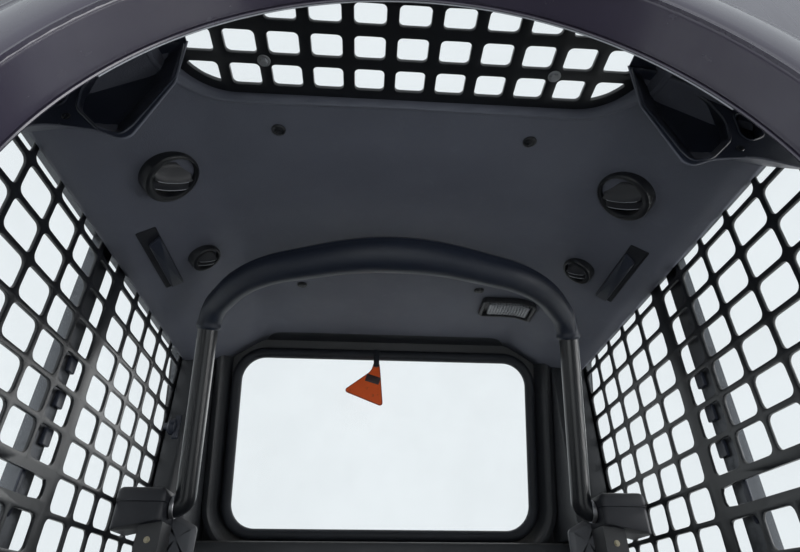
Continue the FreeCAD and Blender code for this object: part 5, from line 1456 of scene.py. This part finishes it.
cushion = swollen("cushion", [(capped(cushion_grid), False, True)], vinyl, "seat_cushion", cushion_soften)
places = points_of(cushion.data)
outward = normals_of(cushion.data)
on_top = np.clip((outward[:, 2] - 0.2) / 0.5, 0, 1)
seams = groove(places[:, 0] - 0.115, 0.006) + groove(places[:, 0] + 0.115, 0.006)
inner = np.abs(places[:, 0]) < 0.112
for line in np.linspace(0.05, 0.35, 5):
    seams = np.maximum(seams, groove(places[:, 1] - line, 0.006) * inner)
hollow = 0.008 * np.exp(-(places[:, 0] / 0.13) ** 2 - ((places[:, 1] - 0.21) / 0.15) ** 2)
places -= outward * (on_top * (0.005 * seams + hollow))[:, None]
skirt_seam = groove(places[:, 2] - 0.4300, 0.004) * (1 - on_top)
places -= outward * (0.0035 * skirt_seam)[:, None]
limit = np.array([[-0.2355, -0.0265, 0.3800], [0.2355, 0.4265, 0.4838]])
put_points(cushion.data, np.clip(places, *limit))
finish_pad(cushion, "seat_cushion", "cushion")

BACK_LOW, BACK_HIGH = 0.4870, 0.9290
BACK_FOOT, BACK_FALL = 0.2915, 0.0530
back_outline = evenly(rounded_rectangle(0.212, 0.2040, 0.055, 10), 200, True) + [0.0, (BACK_LOW + BACK_HIGH) / 2]
BACK_LEAN = math.atan2(BACK_FALL, BACK_HIGH - BACK_LOW)
back_plane = ((0.0, 0.3830, 0.0), ACROSS, UP)
back_rows = [(-0.016, -0.0280), (-0.004, -0.0230), (0.0, -0.0100), (0.002, 0.0150), (0.0, 0.0400), (-0.008, 0.0520),
             (-0.022, 0.0580)]
back_loops = pad_surface(back_outline, back_rows)
back_grid = np.stack([flat(loop, height, *back_plane) for loop, height in back_loops])
back_grid[..., 1] += (back_grid[..., 2] - 0.60) * math.tan(BACK_LEAN)


def back_soften(points):
    """Full at the front face, little at the hard rear shell."""
    depth = points[:, 1] - (points[:, 2] - 0.60) * math.tan(BACK_LEAN)
    return np.clip((0.400 - depth) / 0.05, 0.05, 1.0)


back = swollen("backrest", [(capped(back_grid), False, True)], vinyl, "seat_back", back_soften)
places = points_of(back.data)
outward = normals_of(back.data)
on_front_face = np.clip((-outward[:, 1] - 0.2) / 0.5, 0, 1)
seams = groove(places[:, 0] - 0.112, 0.006) + groove(places[:, 0] + 0.112, 0.006)
inner = np.abs(places[:, 0]) < 0.109
for line in np.linspace(0.58, 0.86, 5):
    seams = np.maximum(seams, groove(places[:, 2] - line, 0.006) * inner)
hollow = 0.008 * np.exp(-(places[:, 0] / 0.12) ** 2 - ((places[:, 2] - 0.70) / 0.17) ** 2)
places -= outward * (on_front_face * (0.005 * seams + hollow))[:, None]
limit = np.array([[-0.2305, 0.2900, 0.4855], [0.2305, 0.4570, 0.9305]])
put_points(back.data, np.clip(places, *limit))
finish_pad(back, "seat_back", "backrest")


# Consoles with armrest caps, levers with bellows and ribbed pedals

CONSOLE_IN, CONSOLE_OUT = 0.3360, 0.4260
console_cap = []
cap_outline = rounded_rectangle(0.0440, 0.1180, 0.018, 8)
cap_plane = ((0.3810, 0.0940, 0.6330), ACROSS, (0.0, 0.9980, -0.0590))
console_cap.append(solid(finer(cap_outline, 2), [(-0.0020, -0.0060), (0.0, -0.0040), (0.0, 0.0010), (-0.0016, 0.0034),
                                                 (-0.0050, 0.0048), (-0.0120, 0.0052)], cap_plane))
bellows_rows = []
for step in range(5):
    rise = 0.638 + step * 0.0080
    size = 0.0290 - step * 0.0030
    bellows_rows += [(size, rise), (size + 0.0012, rise + 0.0020), (size - 0.0030, rise + 0.0046),
                     (size - 0.0036, rise + 0.0062)]
bellows = (revolved([(0.0, 0.6360)] + bellows_rows + [(0.0, 0.6790)], (0.3810, -0.070, 0.0), UP, 40), False, True)
LEVER_ROWS = [(0.0060, 0.6760, 0.0), (0.0066, 0.6950, 0.001), (0.0120, 0.7040, 0.002), (0.0180, 0.7160, 0.003),
              (0.0195, 0.7350, 0.005), (0.0185, 0.7500, 0.007), (0.0205, 0.7680, 0.010), (0.0215, 0.7820, 0.012),
              (0.0195, 0.7950, 0.013), (0.0130, 0.8020, 0.013), (0.0040, 0.8045, 0.013)]


def lever_grip():
    """Ovals of growing and shrinking size stacked up a leaning grip, with finger dents in front."""
    turn = np.linspace(0, 2 * math.pi, 48, endpoint=False)
    heights = np.array([row[1] for row in LEVER_ROWS])
    fine = np.linspace(heights[0], heights[-1], 60)
    radius = np.interp(fine, heights, [row[0] for row in LEVER_ROWS])
    forward = np.interp(fine, heights, [row[2] for row in LEVER_ROWS])
    held = np.clip((fine - 0.706) / 0.01, 0, 1) * np.clip((0.775 - fine) / 0.01, 0, 1)
    dent = 0.0012 * np.cos((fine - 0.716) / 0.0175 * 2 * math.pi) * held
    front = np.clip(-np.sin(turn), 0, 1)
    reach = radius[:, None] + dent[:, None] * front
    x = 0.3810 + 1.08 * reach * np.cos(turn)
    y = -0.0700 - forward[:, None] + reach * np.sin(turn)
    return capped(np.stack([x, y, np.broadcast_to(fine[:, None], x.shape)], -1)), False, True


for side, sign in SIDES:
    turned = (lambda parts: parts) if sign > 0 else mirrored
    covered = ("control_levers",) if sign > 0 else ()
    add_piece("console_cap_" + side, turned(console_cap), sleeve)
    add_piece("lever_" + side, turned([lever_grip()]), pod_black, replaces=covered)
    add_piece("lever_bellows_" + side, turned([bellows]), window_rubber)

PEDAL_X, PEDAL_Y, PEDAL_HALF = 0.170, -0.329, (0.0595, 0.0895)
pedal_plane = ((PEDAL_X, PEDAL_Y, 0.0645), ACROSS, ALONG)
pedals = [solid(rounded_rectangle(*PEDAL_HALF, 0.012, 6), [(-0.001, 0.0), (0.0, 0.001), (0.0, 0.0085),
                                                           (-0.0012, 0.0105), (-0.0030, 0.0110)], pedal_plane)]
for line in np.linspace(-0.0720, 0.0720, 9):
    rib_plane = ((PEDAL_X, PEDAL_Y + line, 0.0645), ACROSS, ALONG)
    pedals.append(solid(rounded_rectangle(0.0500, 0.0040, 0.0035, 4), [(0.0, 0.0100), (0.0, 0.0122),
                                                                       (-0.0010, 0.0134)], rib_plane))
add_piece("pedals_dressed", pedals + mirrored(pedals), tread, replaces=("pedals",))
# Camera, light and floor

EYE = (-0.039, -0.707, 0.860)
PITCH_UP = 32.58
YAW_RIGHT = 3.6
FOCAL_PIXELS = 538.0
PHOTO_WIDTH = 800.0
SENSOR = 36.0

camera_data = bpy.data.cameras.new("camera")
camera_data.sensor_width = SENSOR
camera_data.lens = FOCAL_PIXELS / PHOTO_WIDTH * SENSOR
camera_data.clip_start = 0.01
camera = bpy.data.objects.new("camera", camera_data)
camera.location = EYE
camera.rotation_euler = (math.radians(90 + PITCH_UP), 0.0, math.radians(-YAW_RIGHT))
bpy.context.scene.collection.objects.link(camera)
bpy.context.scene.camera = camera

bpy.context.scene.view_settings.view_transform = "Standard"


def sky():
    """A pale surround that is brighter where it is seen than where it lights."""
    world = bpy.data.worlds.new("surround")
    bpy.context.scene.world = world
    world.use_nodes = True
    tree = world.node_tree
    background = tree.nodes["Background"]
    background.inputs["Color"].default_value = shade(0.84, 0.90, 0.93)
    path = tree.nodes.new("ShaderNodeLightPath")
    seen = None
    for name in ("Is Camera Ray", "Is Glossy Ray", "Is Transmission Ray"):
        if seen is None:
            seen = path.outputs[name]
            continue
        either = tree.nodes.new("ShaderNodeMath")
        either.operation = "MAXIMUM"
        tree.links.new(seen, either.inputs[0])
        tree.links.new(path.outputs[name], either.inputs[1])
        seen = either.outputs[0]
    strength = tree.nodes.new("ShaderNodeMapRange")
    tree.links.new(seen, strength.inputs["Value"])
    strength.inputs["To Min"].default_value = SKY_LIGHT
    strength.inputs["To Max"].default_value = 1.0
    tree.links.new(strength.outputs["Result"], background.inputs["Strength"])


SKY_LIGHT = 1.15
sky()


def soft_lamp(name, place, target, wide, power):
    """A square lamp that faces a target."""
    data = bpy.data.lights.new(name, "AREA")
    data.size = wide
    data.energy = power
    lamp = bpy.data.objects.new(name, data)
    lamp.location = place
    lamp.rotation_euler = (Vector(target) - Vector(place)).to_track_quat("-Z", "Y").to_euler()
    bpy.context.scene.collection.objects.link(lamp)


soft_lamp("front_lamp", (-1.2, -3.2, 1.2), (0, 0, 1.0), 2.2, 14.0)
soft_lamp("side_lamp", (3.0, -0.7, 1.2), (0, -0.1, 1.2), 2.0, 55.0)
soft_lamp("rear_lamp", (1.6, 3.0, 2.8), (0, 0, 0.9), 2.2, 40.0)

floor_finish = Finish("floor", "none", Roughness=0.8)
floor_finish.drive("Base Color", floor_finish.blend(floor_finish.noise(3.0), shade(0.70, 0.70, 0.69),
                                                    shade(0.74, 0.74, 0.73)))
FLOOR_HALF = 12.0
floor_mesh = bpy.data.meshes.new("floor")
floor_mesh.from_pydata([(-FLOOR_HALF, -FLOOR_HALF, 0), (FLOOR_HALF, -FLOOR_HALF, 0),
                        (FLOOR_HALF, FLOOR_HALF, 0), (-FLOOR_HALF, FLOOR_HALF, 0)], [], [(0, 1, 2, 3)])
floor_mesh.materials.append(floor_finish.material)
floor = bpy.data.objects.new("floor", floor_mesh)
bpy.context.scene.collection.objects.link(floor)
